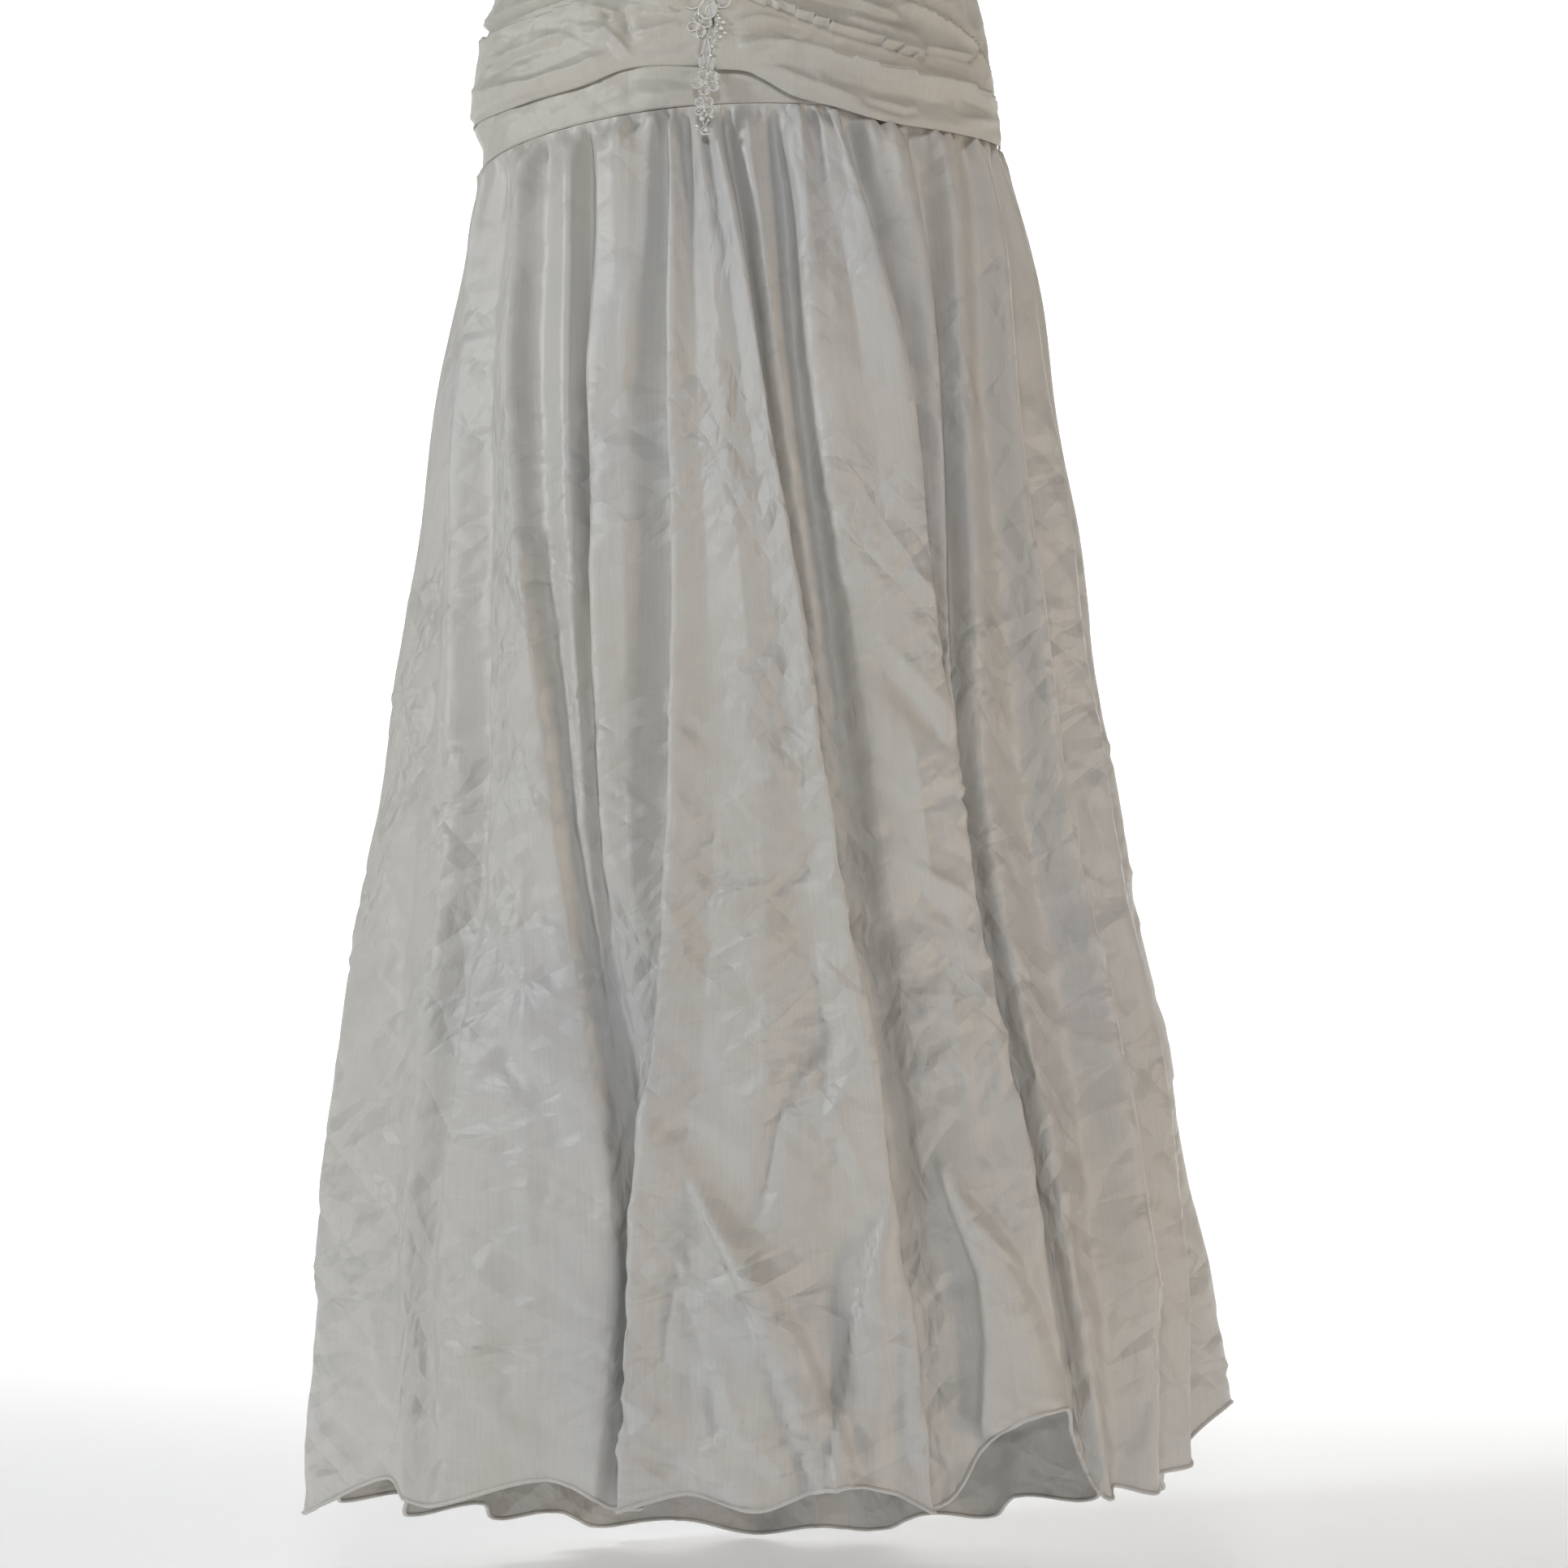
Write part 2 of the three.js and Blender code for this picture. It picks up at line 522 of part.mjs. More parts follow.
// The outline of the stem behind the motifs, from the first one to the last.
function stemOutline() {
  const high = MOTIFS[0].z;
  const low = MOTIFS[MOTIFS.length - 1].z;
  const leftEdge = [];
  const rightEdge = [];
  for (let i = 0; i <= STEM_POINTS; i += 1) {
    const z = high + (low - high) * (i / STEM_POINTS);
    const x = STEM_SWAY * Math.sin(2 * Math.PI * z / STEM_WAVE);
    leftEdge.push([x - STEM_HALF, z]);
    rightEdge.unshift([x + STEM_HALF, z]);
  }
  return [...leftEdge, ...rightEdge];
}

// The raised centre of a flower, rooted inside the lace.
function stamen(motif) {
  return wasm.Manifold.cylinder(STAMEN_RISE + STAMEN_ROOT, STAMEN_RADIUS, STAMEN_TIP, STAMEN_SIDES)
    .translate(motif.x, motif.z, LACE_THICK - STAMEN_ROOT);
}

// The flat lace: one outline cut round all motifs and the stem, and the raised centres.
function flatLace() {
  const outlines = [stemOutline(), ...MOTIFS.map(motifOutline)];
  const cuts = outlines.map((outline) => new wasm.CrossSection(outline));
  const plate = wasm.CrossSection.union(cuts).simplify(LACE_EASE).extrude(LACE_THICK);
  return wasm.Manifold.union([plate, ...MOTIFS.map(stamen)]);
}

// Lay a point of the flat lace on the front of the dress.
function layOnFront(point) {
  const over = THREE.MathUtils.smoothstep(-point.y, -LACE_STEP, -SEAM_AT_FRONT);
  const lift = LACE_OVER_BODICE + (LACE_OVER_SKIRT - LACE_OVER_BODICE) * over - LACE_THICK;
  const angle = point.x / sectionSize('half', point.y) / radian;
  return bodyPoint(angle, point.y, cupOut(angle, point.y) + lift + point.z);
}

const laceMesh = flatLace().getMesh();
const lacePoints = [];
for (let i = 0; i < laceMesh.vertProperties.length; i += laceMesh.numProp) {
  const [x, y, z] = laceMesh.vertProperties.slice(i, i + 3);
  const laid = layOnFront(new THREE.Vector3(x, y, z));
  lacePoints.push(laid.x, laid.y, laid.z);
}
const laceGeometry = new THREE.BufferGeometry();
laceGeometry.setAttribute('position', new THREE.Float32BufferAttribute(lacePoints, 3));
laceGeometry.setIndex([...laceMesh.triVerts]);
laceGeometry.computeVertexNormals();
addPiece('applique', laceGeometry, lace);

// ---- Concealed zip ----

// A flat tape that lies just inside the centre-back seam.
function zipTape() {
  const grid = (inward) => {
    const rows = [];
    for (let i = 0; i <= ZIP_STEPS; i += 1) {
      const z = ZIP_TOP + (ZIP_BOTTOM - ZIP_TOP) * (i / ZIP_STEPS);
      const seam = seamHeight(180);
      const share = (seam - z) / (seam - BACK_RIGHT_FOLDS[0].hem);
      const out = z < seam ? smooth(FOLD_LEVELS, BACK_RIGHT_FOLDS[0].out, share) : 0;
      const depth = bodyPoint(180, z, out - CLOTH - ZIP_EASE - inward).y;
      rows.push([
        new THREE.Vector3(ZIP_WIDTH / 2, depth, z),
        new THREE.Vector3(-ZIP_WIDTH / 2, depth, z),
      ]);
    }
    return rows;
  };
  return clothWall(grid(0), grid(ZIP_THICK));
}

addPiece('back_zip', zipTape(), tape);

export default dress;
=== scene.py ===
"""Strapless wedding dress in satin taffeta: cloth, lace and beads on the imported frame.

Sizes in the tables are millimetres. Angles go round the body in degrees, from centre front (0) through
the wearer's left side (90) and centre back (180) to the wearer's right side (-90 or 270).
"""

import math
from collections import namedtuple

import bpy
import numpy as np
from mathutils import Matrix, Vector


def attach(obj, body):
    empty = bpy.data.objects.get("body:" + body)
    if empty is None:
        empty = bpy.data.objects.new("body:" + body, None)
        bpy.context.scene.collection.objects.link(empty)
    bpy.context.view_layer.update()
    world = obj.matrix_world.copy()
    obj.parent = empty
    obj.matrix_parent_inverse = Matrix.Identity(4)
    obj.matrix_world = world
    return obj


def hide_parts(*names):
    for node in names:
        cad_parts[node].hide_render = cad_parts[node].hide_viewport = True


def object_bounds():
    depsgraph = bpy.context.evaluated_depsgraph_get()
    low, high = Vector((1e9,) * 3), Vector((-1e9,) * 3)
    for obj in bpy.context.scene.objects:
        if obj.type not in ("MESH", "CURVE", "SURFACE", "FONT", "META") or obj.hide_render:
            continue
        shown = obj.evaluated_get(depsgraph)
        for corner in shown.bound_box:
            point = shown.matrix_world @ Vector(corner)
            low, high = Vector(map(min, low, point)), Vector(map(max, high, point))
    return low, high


bl_info = {
    "name": "Wedding dress",
    "version": (1, 0, 0),
    "blender": (4, 5, 0),
    "location": "3D View > Sidebar > Dress",
    "description": "Builds the cloth, lace and beads of a strapless wedding dress on its frame",
    "category": "Object",
}

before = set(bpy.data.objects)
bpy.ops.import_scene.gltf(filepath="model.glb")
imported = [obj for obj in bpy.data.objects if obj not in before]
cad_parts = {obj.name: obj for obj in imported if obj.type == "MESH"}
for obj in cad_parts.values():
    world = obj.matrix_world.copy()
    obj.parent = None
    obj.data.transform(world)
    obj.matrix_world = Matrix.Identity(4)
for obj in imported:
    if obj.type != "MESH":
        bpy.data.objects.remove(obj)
cad_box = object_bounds()

MM = 0.001


# ---------------------------------------------------------------------------------------------
# Cut and form
# ---------------------------------------------------------------------------------------------

Section = namedtuple("Section", "z half front back lean")

# Plain body sections: height, half width, depth to the front and back, lean to the wearer's left.
SECTIONS = [
    Section(205, 154, 100, 93, 0),
    Section(120, 157, 111, 97, 0),
    Section(60, 148, 103, 93, -1),
    Section(0, 146, 98, 92, -4),
    Section(-80, 168, 106, 105, -7),
    Section(-150, 178, 113, 117, -7),
    Section(-225, 192, 127, 133, -3),
    Section(-340, 210, 143, 152, -3),
    Section(-450, 226, 153, 170, -2),
    Section(-560, 241, 163, 188, -2),
    Section(-680, 261, 172, 210, -1),
    Section(-790, 282, 180, 233, 1),
    Section(-900, 295, 188, 253, 2),
    Section(-1010, 301, 194, 274, 3),
    Section(-1195, 304, 200, 298, 2),
]

# The waist seam: its height at centre front, its dip at the sides, how much higher it is at the
# wearer's left, and the gap along it; and the body's half width there.
SEAM_AT_FRONT = -150
SEAM_DIP = 17
SEAM_TILT = 6
SEAM_GAP = 0.3
HIP_HALF = 170

# The neckline and the two cups.
NECK_AT_SIDE = 165
NECK_AT_BACK = 120
CUP_RISE = 30
CUP_ANGLE = 29
CUP_SPREAD = 19
CUP_HEIGHT = 112
CUP_TALL = 46
CUP_OUT = 13

# A crest or valley of the skirt: angle and distance out at five levels from the seam (0) to the hem
# (1), height of the hem there, and how many steps of cloth lead to the next line.
Fold = namedtuple("Fold", "line angle out hem steps")
FOLD_LEVELS = [0, 0.2, 0.5, 0.8, 1]

FRONT_FOLDS = [
    Fold("right side seam", (-90, -90, -90, -90, -90), (-4, -6, -6, -5, -3), -1104, 3),
    Fold("side crest", (-82, -81, -80, -79, -78), (2, 6, 9, 9, 12), -1110, 4),
    Fold("side valley", (-76, -71, -64, -52, -50), (-4, -8, -12, -11, -8), -1068, 3),
    Fold("thin ridge", (-70, -61, -47, -46, -43), (4, 4, 1, -3, 2), -1076, 2),
    Fold("shadow valley", (-59, -51, -39.5, -41, -39), (-5, -8, -12, -9, 3), -1078, 3),
    Fold("low panel left", (-53, -45.5, -34.5, -36.5, -35), (-1, 1, 6, 8, 7), -1074, 3),
    Fold("low panel", (-50, -42.5, -29, -22, -20), (4, 6, 10, 11, -2), -1053, 4),
    Fold("low panel right", (-47, -40, -23.3, -11, -13), (6, 9, 10, 8, 3), -1062, 1),
    Fold("left valley", (-42, -35.5, -21, -9.6, -11.5), (-6, -6, -4, -2, -3), -1068, 1),
    Fold("left gather", (-33, -26.5, -18.5, -8.6, -10.4), (5, 6, 1, -7, -7), -1069, 1),
    Fold("deep valley", (-28.5, -24, -16.8, -7.4, -9.2), (-8, -12, -6, -9, -8), -1068, 1),
    Fold("second panel left", (-24, -21.2, -15.2, -6.4, -8.2), (6, 7, 4, -7, -7), -1067, 3),
    Fold("second panel", (-17, -15, -11, -6, -7.8), (7, 7, 2, -2, -2), -1067, 3),
    Fold("under centre panel", (-10, -7.2, -5.2, -7, -9.4), (-6, -7, -7, 5, 2), -1067, 2),
    Fold("centre panel left", (-8.2, -6, -4, -8, -9.8), (6, 9, 11, 12, 8), -1068, 3),
    Fold("centre gather", (-5.4, -1.5, 2, -1, -1.5), (-3, 5, 7, 7, 1), -1056, 3),
    Fold("centre panel", (-2.6, 3, 9, 8, 7), (4, 8, 10, 11, 8), -1064, 3),
    Fold("centre dip", (-1, 6.6, 14.6, 17, 19), (2, 7, 8, 3, -4), -1046, 3),
    Fold("centre panel right", (1, 10.3, 19.4, 25, 29), (7, 12, 14, 12, 8), -1066, 1),
    Fold("centre valley", (2.6, 9.9, 19, 24.8, 29.6), (-8, -7, -8, -7, -3), -1066, 1),
    Fold("third gather", (7.5, 13, 21.2, 26.6, 31), (4, 4, -8, -8, -4), -1064, 2),
    Fold("third valley", (14, 17, 23.6, 28, 33), (-7, -10, -6, -5, -4), -1056, 1),
    Fold("fourth panel left", (17.2, 20, 26.3, 30, 36), (5, 7, 5, 1, -3), -1032, 3),
    Fold("fourth panel", (22, 28.5, 33, 36.5, 41), (3, 9, 10, 8, 4), -1010, 3),
    Fold("fourth panel right", (26.6, 36.4, 39.4, 43.6, 47.6), (7, 12, 11, 12, 12), -1004, 1),
    Fold("fourth valley", (29.4, 36.9, 40.1, 45, 50.4), (-7, -5, -1, 3, 2), -1020, 1),
    Fold("small gather", (35, 39.3, 40.9, 45.8, 51.4), (3, 1, -3, -1, -1), -1032, 1),
    Fold("fifth panel right", (43, 43.7, 41.6, 46.6, 52.4), (6, 9, -2, -1, 0), -1042, 1),
    Fold("thin valley", (46.8, 46.2, 42.6, 47.4, 53.6), (-8, -10, -5, 1, 2), -1054, 1),
    Fold("bright ridge", (55, 50, 45, 49.6, 55.6), (6, 8, 10, 10, 9), -1066, 3),
    Fold("sixth valley", (65, 59, 57, 57.5, 60), (-5, -8, -9, -7, -5), -1062, 3),
    Fold("long crest", (72, 64.6, 64, 67, 66), (5, 8, 9, 11, 10), -1068, 3),
    Fold("left side valley", (79, 72.5, 71, 74.5, 74), (-4, -5, -6, -5, -5), -1062, 3),
    Fold("left side crest", (85, 82, 80, 82.5, 82), (3, 7, 9, 7, 5), -1060, 3),
]

BACK_LEFT_FOLDS = [
    Fold("left side seam", (91, 91, 91, 91, 91), (-4, -5, -5, -5, -2), -1052, 2),
    Fold("flare", (98, 98, 98, 100, 101), (4, 7, 8, 11, 34), -1032, 3),
    Fold("flare valley", (106, 106, 107, 109, 111), (-6, -9, -11, -12, -9), -1080, 2),
    Fold("crest", (114, 114, 116, 118, 119), (5, 8, 10, 13, 12), -1112, 3),
    Fold("valley", (122, 124, 126, 127, 128), (-7, -10, -12, -13, -9), -1110, 2),
    Fold("crest", (130, 133, 136, 136, 137), (6, 9, 12, 14, 15), -1138, 3),
    Fold("valley", (137, 142, 145, 145, 146), (-6, -8, -10, -12, -8), -1138, 2),
    Fold("small crest", (145, 149, 152, 153, 154), (6, 7, 8, 11, 11), -1164, 3),
    Fold("valley", (153, 156, 159, 161, 162), (-7, -10, -13, -13, -9), -1162, 2),
    Fold("inner crest", (162, 165, 169, 170, 171), (6, 9, 12, 14, 14), -1184, 3),
    Fold("tuck", (171, 173, 174.5, 175, 175.5), (-2, -4, -2, 3, 5), -1184, 2),
]

BACK_RIGHT_FOLDS = [
    Fold("centre back seam", (180, 180, 180, 180, 180), (-5, -7, -8, -8, -5), -1180, 2),
    Fold("inner crest", (188, 188, 189, 190, 190), (5, 9, 12, 15, 14), -1190, 3),
    Fold("valley", (196, 197, 199, 201, 201), (-6, -9, -11, -12, -9), -1172, 2),
    Fold("crest", (204, 206, 209, 211, 212), (6, 8, 10, 13, 14), -1180, 3),
    Fold("valley", (212, 215, 218, 220, 221), (-7, -10, -13, -13, -10), -1158, 2),
    Fold("small crest", (219, 222, 225, 227, 228), (5, 6, 8, 10, 11), -1164, 2),
    Fold("valley", (226, 229, 232, 233, 234), (-5, -6, -8, -10, -8), -1144, 2),
    Fold("crest", (234, 236, 238, 241, 243), (6, 9, 12, 15, 15), -1150, 3),
    Fold("valley", (243, 244, 246, 249, 251), (-7, -9, -12, -13, -10), -1122, 2),
    Fold("side crest", (254, 254, 255, 258, 260), (5, 8, 11, 13, 12), -1122, 3),
    Fold("side valley", (263, 263, 263, 264, 265), (-2, -2, 0, 2, 2), -1108, 2),
]

SKIRT_FOLDS = FRONT_FOLDS + BACK_LEFT_FOLDS + BACK_RIGHT_FOLDS

# A crease of the taffeta: a path of (angle, height) points, its half width and its depth. A ridge
# stands out and a trough goes in; a step is a ridge above a trough; a gather is a ridge that dies
# away down its path; in a lap the upper side lies over the lower, and in an underlap under it.
Crease = namedtuple("Crease", "kind path half depth")


def straight(kind, *rows):
    """Straight creases of one kind: angle and height of both ends, half width and depth."""
    return [Crease(kind, (row[:2], row[2:4]), *row[4:]) for row in rows]


FRONT_CREASES = [
    # centre panel, upper part
    *straight("ridge", (-3.5, -429, 4.5, -408, 5, 1.4), (-2.5, -485, 16, -503, 5, 2.6),
              (2.2, -619, 17, -583, 6, 2.4), (-3.5, -677, 4.5, -661, 5, 1.8),
              (16, -705, 20.5, -742, 7, 3.2), (2, -787, 15.5, -728, 7, 3.2)),
    *straight("step", (-2.8, -327, 9, -338, 5, 1.2), (-1, -524, 11.8, -514, 5, 1.8),
              (4.5, -678, 16.5, -652, 6, 2.2)),
    *straight("trough", (-5, -262, 1.5, -300, 5, 1.4), (-3.2, -365, 8.8, -387, 6, 1.6),
              (1.8, -429, 12.5, -456, 6, 1.8), (-3.5, -556, 5.2, -582, 6, 2.2),
              (-1.2, -640, 9, -636, 6, 2.0), (0.8, -657, 15.8, -664, 9, 4.2),
              (1, -711, 16, -671, 7, 2.6), (-1.2, -803, 13.8, -770, 8, 3.0)),
    # centre panel, lower part
    *straight("ridge", (13.2, -868, 20.8, -765, 9, 4.0), (17.5, -800, 20.5, -868, 7, 2.8),
              (-5.2, -916, -3.2, -898, 4, 3.2), (-3.2, -898, -1, -918, 4, 3.2),
              (0.8, -982, 3, -974, 4, 3.6), (3, -974, 5, -1014, 4, 4.0),
              (6.5, -955, 10.5, -936, 4, 2.4), (8.5, -1058, 13.0, -1008, 5, 3.0),
              (-10, -990, -5.2, -1007, 4, 3.4), (-5.2, -1007, -9.8, -1032, 4, 3.6),
              (-2.2, -1036, 3.0, -1026, 4, 2.8)),
    *straight("trough", (15.4, -764, 9.8, -812, 8, 5.2), (9.8, -812, 7.3, -880, 7, 5.2),
              (-4.5, -822, 0.5, -827, 5, 3.2), (2.5, -842, 8.0, -890, 16, 4.6),
              (-3.2, -908, -4.8, -976, 6, 5.0), (-1.8, -931, 0.2, -968, 5, 3.0),
              (1.4, -988, 2.0, -1014, 5, 4.2), (0, -1020, 5.5, -1006, 4, 3.4),
              (5.5, -1035, 9.5, -1050, 5, 3.2), (-8.4, -1003, -8.4, -1018, 5, 3.0),
              (-8, -1030, -2.2, -1042, 5, 3.4)),
    # second panel
    *straight("ridge", (-13, -460, -5.5, -429, 5, 1.3)),
    *straight("step", (-14, -520, -7.5, -500, 5, 1.3), (-12.5, -640, -7, -622, 5, 1.6)),
    *straight("trough", (-18.2, -417, -12.5, -390, 5, 1.4), (-13.5, -590, -8, -612, 5, 1.6),
              (-12, -700, -7.5, -716, 5, 1.6)),
    # left panels
    *straight("ridge", (-38.4, -349, -31.5, -392, 5, 2.4), (-34.8, -446, -31.0, -424, 4, 1.6),
              (-24.5, -868, -19.8, -862, 4, 2.0), (-34, -988, -22, -942, 6, 3.0),
              (-34.5, -919, -22.0, -940, 5, 2.2), (-16.5, -930, -11, -942, 6, 2.0),
              (-53.2, -620, -44, -640, 6, 2.2), (-58, -960, -54, -1010, 6, 3.0),
              (-80, -930, -74, -965, 6, 3.0)),
    *straight("step", (-26.8, -731, -18.8, -746, 6, 1.8), (-33, -800, -25, -770, 6, 1.6),
              (-57, -655, -46, -640, 6, 2.0)),
    *straight("trough", (-37.2, -410, -30.5, -386, 6, 2.4), (-29.8, -780, -20.5, -799, 7, 2.2),
              (-35.8, -962, -16.8, -986, 7, 2.6), (-34, -1012, -24, -970, 7, 2.4),
              (-56, -584, -46, -612, 6, 2.4), (-50, -560, -47, -600, 5, 2.0),
              (-76, -905, -68, -940, 8, 3.0)),
    # fourth panel
    *straight("ridge", (21, -365, 27.2, -386, 5, 2.4), (23, -430, 33, -446, 5, 1.8),
              (29, -455, 36, -471, 5, 2.2), (28.2, -506, 37.5, -550, 6, 4.6),
              (37.5, -550, 39, -572, 5, 3.2), (30.2, -590, 36.5, -578, 4, 2.4),
              (30.8, -611, 36.2, -593, 4, 4.4), (31, -656, 38.5, -674, 5, 5.0),
              (27.5, -719, 32, -702, 5, 3.2), (28.2, -756, 38.8, -731, 5, 3.2),
              (26.5, -789, 33.5, -812, 5, 3.0), (33, -770, 36, -800, 4, 2.6)),
    *straight("trough", (21.5, -387, 32.8, -407, 6, 2.4), (28.0, -524, 36.0, -570, 7, 4.0),
              (31.8, -620, 37.2, -609, 4, 3.6), (30.6, -670, 36.4, -694, 6, 4.4),
              (27.8, -686, 34.8, -700, 5, 3.0), (28, -735, 36.5, -716, 6, 3.2),
              (29.5, -775, 37.5, -758, 6, 3.2), (31, -802, 36.2, -790, 5, 3.0)),
    # right side
    *straight("ridge", (74, -598, 77, -653, 6, 2.4), (66, -930, 76, -965, 6, 2.2)),
    *straight("step", (60, -700, 70, -735, 6, 2.0)),
    *straight("trough", (68.8, -380, 76, -423, 6, 2.0), (70, -520, 80, -560, 6, 2.2),
              (48, -640, 54, -690, 6, 1.8)),
]

# A folded band of cloth that lies proud of the panel under it: a path of (angle, height) points, its
# half width at the first and last point, and how far it stands out.
Band = namedtuple("Band", "path half_start half_end out")

FRONT_BANDS = [
    Band(((-3.6, -826), (1.2, -866), (6.2, -908), (11, -962), (15.2, -1016), (18.6, -1060)), 6, 22, 12),
    Band(((24.4, -850), (22.8, -905), (21.6, -955), (20.4, -1005), (19.8, -1056)), 5, 26, 10.5),
    Band(((30.0, -826), (34.0, -868), (38.4, -914), (40.4, -960), (41.4, -1010)), 5, 30, 13.5),
]

# Gathers that show at the front seam: angles at the top and at the foot, and length.
FRONT_GATHERS = [
    (-86, -88, 90), (-79, -80, 135), (-72, -73, 90), (-66, -68, 165), (-57, -59, 105),
    (-50, -53, 120), (-44.5, -46.2, 112.5), (-39.5, -38, 82.5), (-36, -34.5, 142.5),
    (-30.5, -29, 90), (-27.2, -26.5, 120), (-20, -19.5, 82.5), (-18.2, -16.5, 135),
    (-13.5, -12.5, 180), (-12, -11, 120), (-7.4, -4.4, 90), (-4.2, 0, 93), (-1.5, 2.4, 105),
    (2.6, 3.4, 90), (6.2, 5, 105), (8.8, 8.5, 60), (12.5, 12.5, 75), (15, 17.5, 67.5),
    (19.2, 18, 195), (23.4, 25, 90), (27.5, 31.5, 105), (30.8, 30.8, 45), (33.2, 34, 51),
    (36.2, 33, 82.5), (40.2, 38.5, 67.5), (45, 46.8, 90), (49.5, 49.2, 51), (52.8, 52.5, 75),
    (58, 58.4, 96), (61.5, 60.5, 120), (64.8, 61.8, 75), (69, 68, 135), (75, 76, 90), (82, 83, 120),
]

# Short creases strewn over the skirt's front: between two angles and two heights, how many, the seed
# of their random draws, and the least and greatest depth and length.
Strewn = namedtuple("Strewn", "first last high low count seed depth reach")
FRONT_STREWN = [
    Strewn(-12, 44, -300, -1060, 190, 21, (0.7, 1.7), (14, 58)),
    Strewn(-86, -10, -320, -1060, 150, 22, (0.5, 1.3), (14, 58)),
    Strewn(44, 88, -300, -1040, 80, 23, (0.5, 1.4), (14, 58)),
]

# How the creases and the crumple grow down the skirt: their share at the waist seam, how much more
# there is at the hem, where below the seam they start to grow, and over what length.
Growth = namedtuple("Growth", "first more start span")
CREASE_GROWTH = Growth(0.4, 0.9, 170, 400)
CRUMPLE_GROWTH = Growth(0.15, 0.85, 120, 560)

# The share of its relief that the cloth keeps where it is sewn down at a side seam.
SEWN_SHARE = 0.12

# The two pleated drapes over the bodice: lower edge from centre front to the side seam, how far the
# cloth stands off at the side, how much further its lower edge bags out there, the share of that
# left where the edge turns in, and its folds.
Drape = namedtuple("Drape", "lower slack bag turn folds")

DRAPE_RIGHT = Drape(
    lower=((-1.4, -124), (-18, -123), (-30, -132), (-45, -137), (-60, -140), (-89.6, -143)),
    slack=4,
    bag=5,
    turn=0.1,
    folds=(
        Crease("underlap", ((-88, 42), (-60, 50), (-30, 58), (-4, 62)), 3.2, 3.0),
        Crease("lap", ((-86, 18), (-52, 28), (-28, 40), (-6, 38)), 3.0, 2.6),
        Crease("underlap", ((-89, -4), (-62, 4), (-36, 14), (-12, 20)), 3.2, 3.4),
        Crease("ridge", ((-70, -12), (-44, 0), (-20, 8)), 3.4, 1.8),
        Crease("lap", ((-88, -26), (-58, -20), (-34, -12), (-8, -2)), 3.0, 3.0),
        Crease("underlap", ((-89, -50), (-66, -46), (-42, -36), (-14, -22)), 3.2, 3.2),
        Crease("ridge", ((-56, -58), (-34, -50), (-12, -38)), 3.4, 1.6),
        Crease("lap", ((-88, -73), (-62, -74), (-48, -72), (-36, -69), (-20, -62)), 3.2, 3.4),
        Crease("underlap", ((-88, -84), (-66, -86), (-54.8, -83), (-41.2, -80), (-30.5, -73)), 2.6, 3.8),
        Crease("trough", ((-78, -80), (-60, -82), (-42, -77)), 3.6, 2.4),
        Crease("ridge", ((-27.5, -79), (-20.8, -86), (-23.5, -95)), 2.6, 2.8),
        Crease("ridge", ((-23.5, -95), (-19.8, -104), (-17.2, -113)), 2.6, 2.6),
        Crease("trough", ((-24.5, -84), (-22.4, -91)), 3.0, 3.0),
        Crease("trough", ((-19, -90), (-17.5, -100)), 2.8, 2.2),
        Crease("ridge", ((-18, -72), (-11, -78), (-4, -77)), 2.8, 2.2),
        Crease("lap", ((-17, -83), (-9, -86), (-4, -85)), 2.4, 1.6),
        Crease("ridge", ((-16, -100), (-8, -96), (-3, -99)), 3.4, 1.6),
        Crease("step", ((-64, -112), (-48, -104), (-36, -99)), 4.2, 1.5),
        Crease("trough", ((-52, -122), (-40, -119), (-30, -110)), 4.2, 1.3),
        Crease("ridge", ((-78, -118), (-62, -125), (-44, -125), (-30, -119), (-22, -112)), 5.0, 2.4),
        Crease("trough", ((-34, -92), (-28, -102)), 3.0, 1.2),
        Crease("step", ((-66, -96), (-54, -94)), 3.6, 1.2),
    ),
)
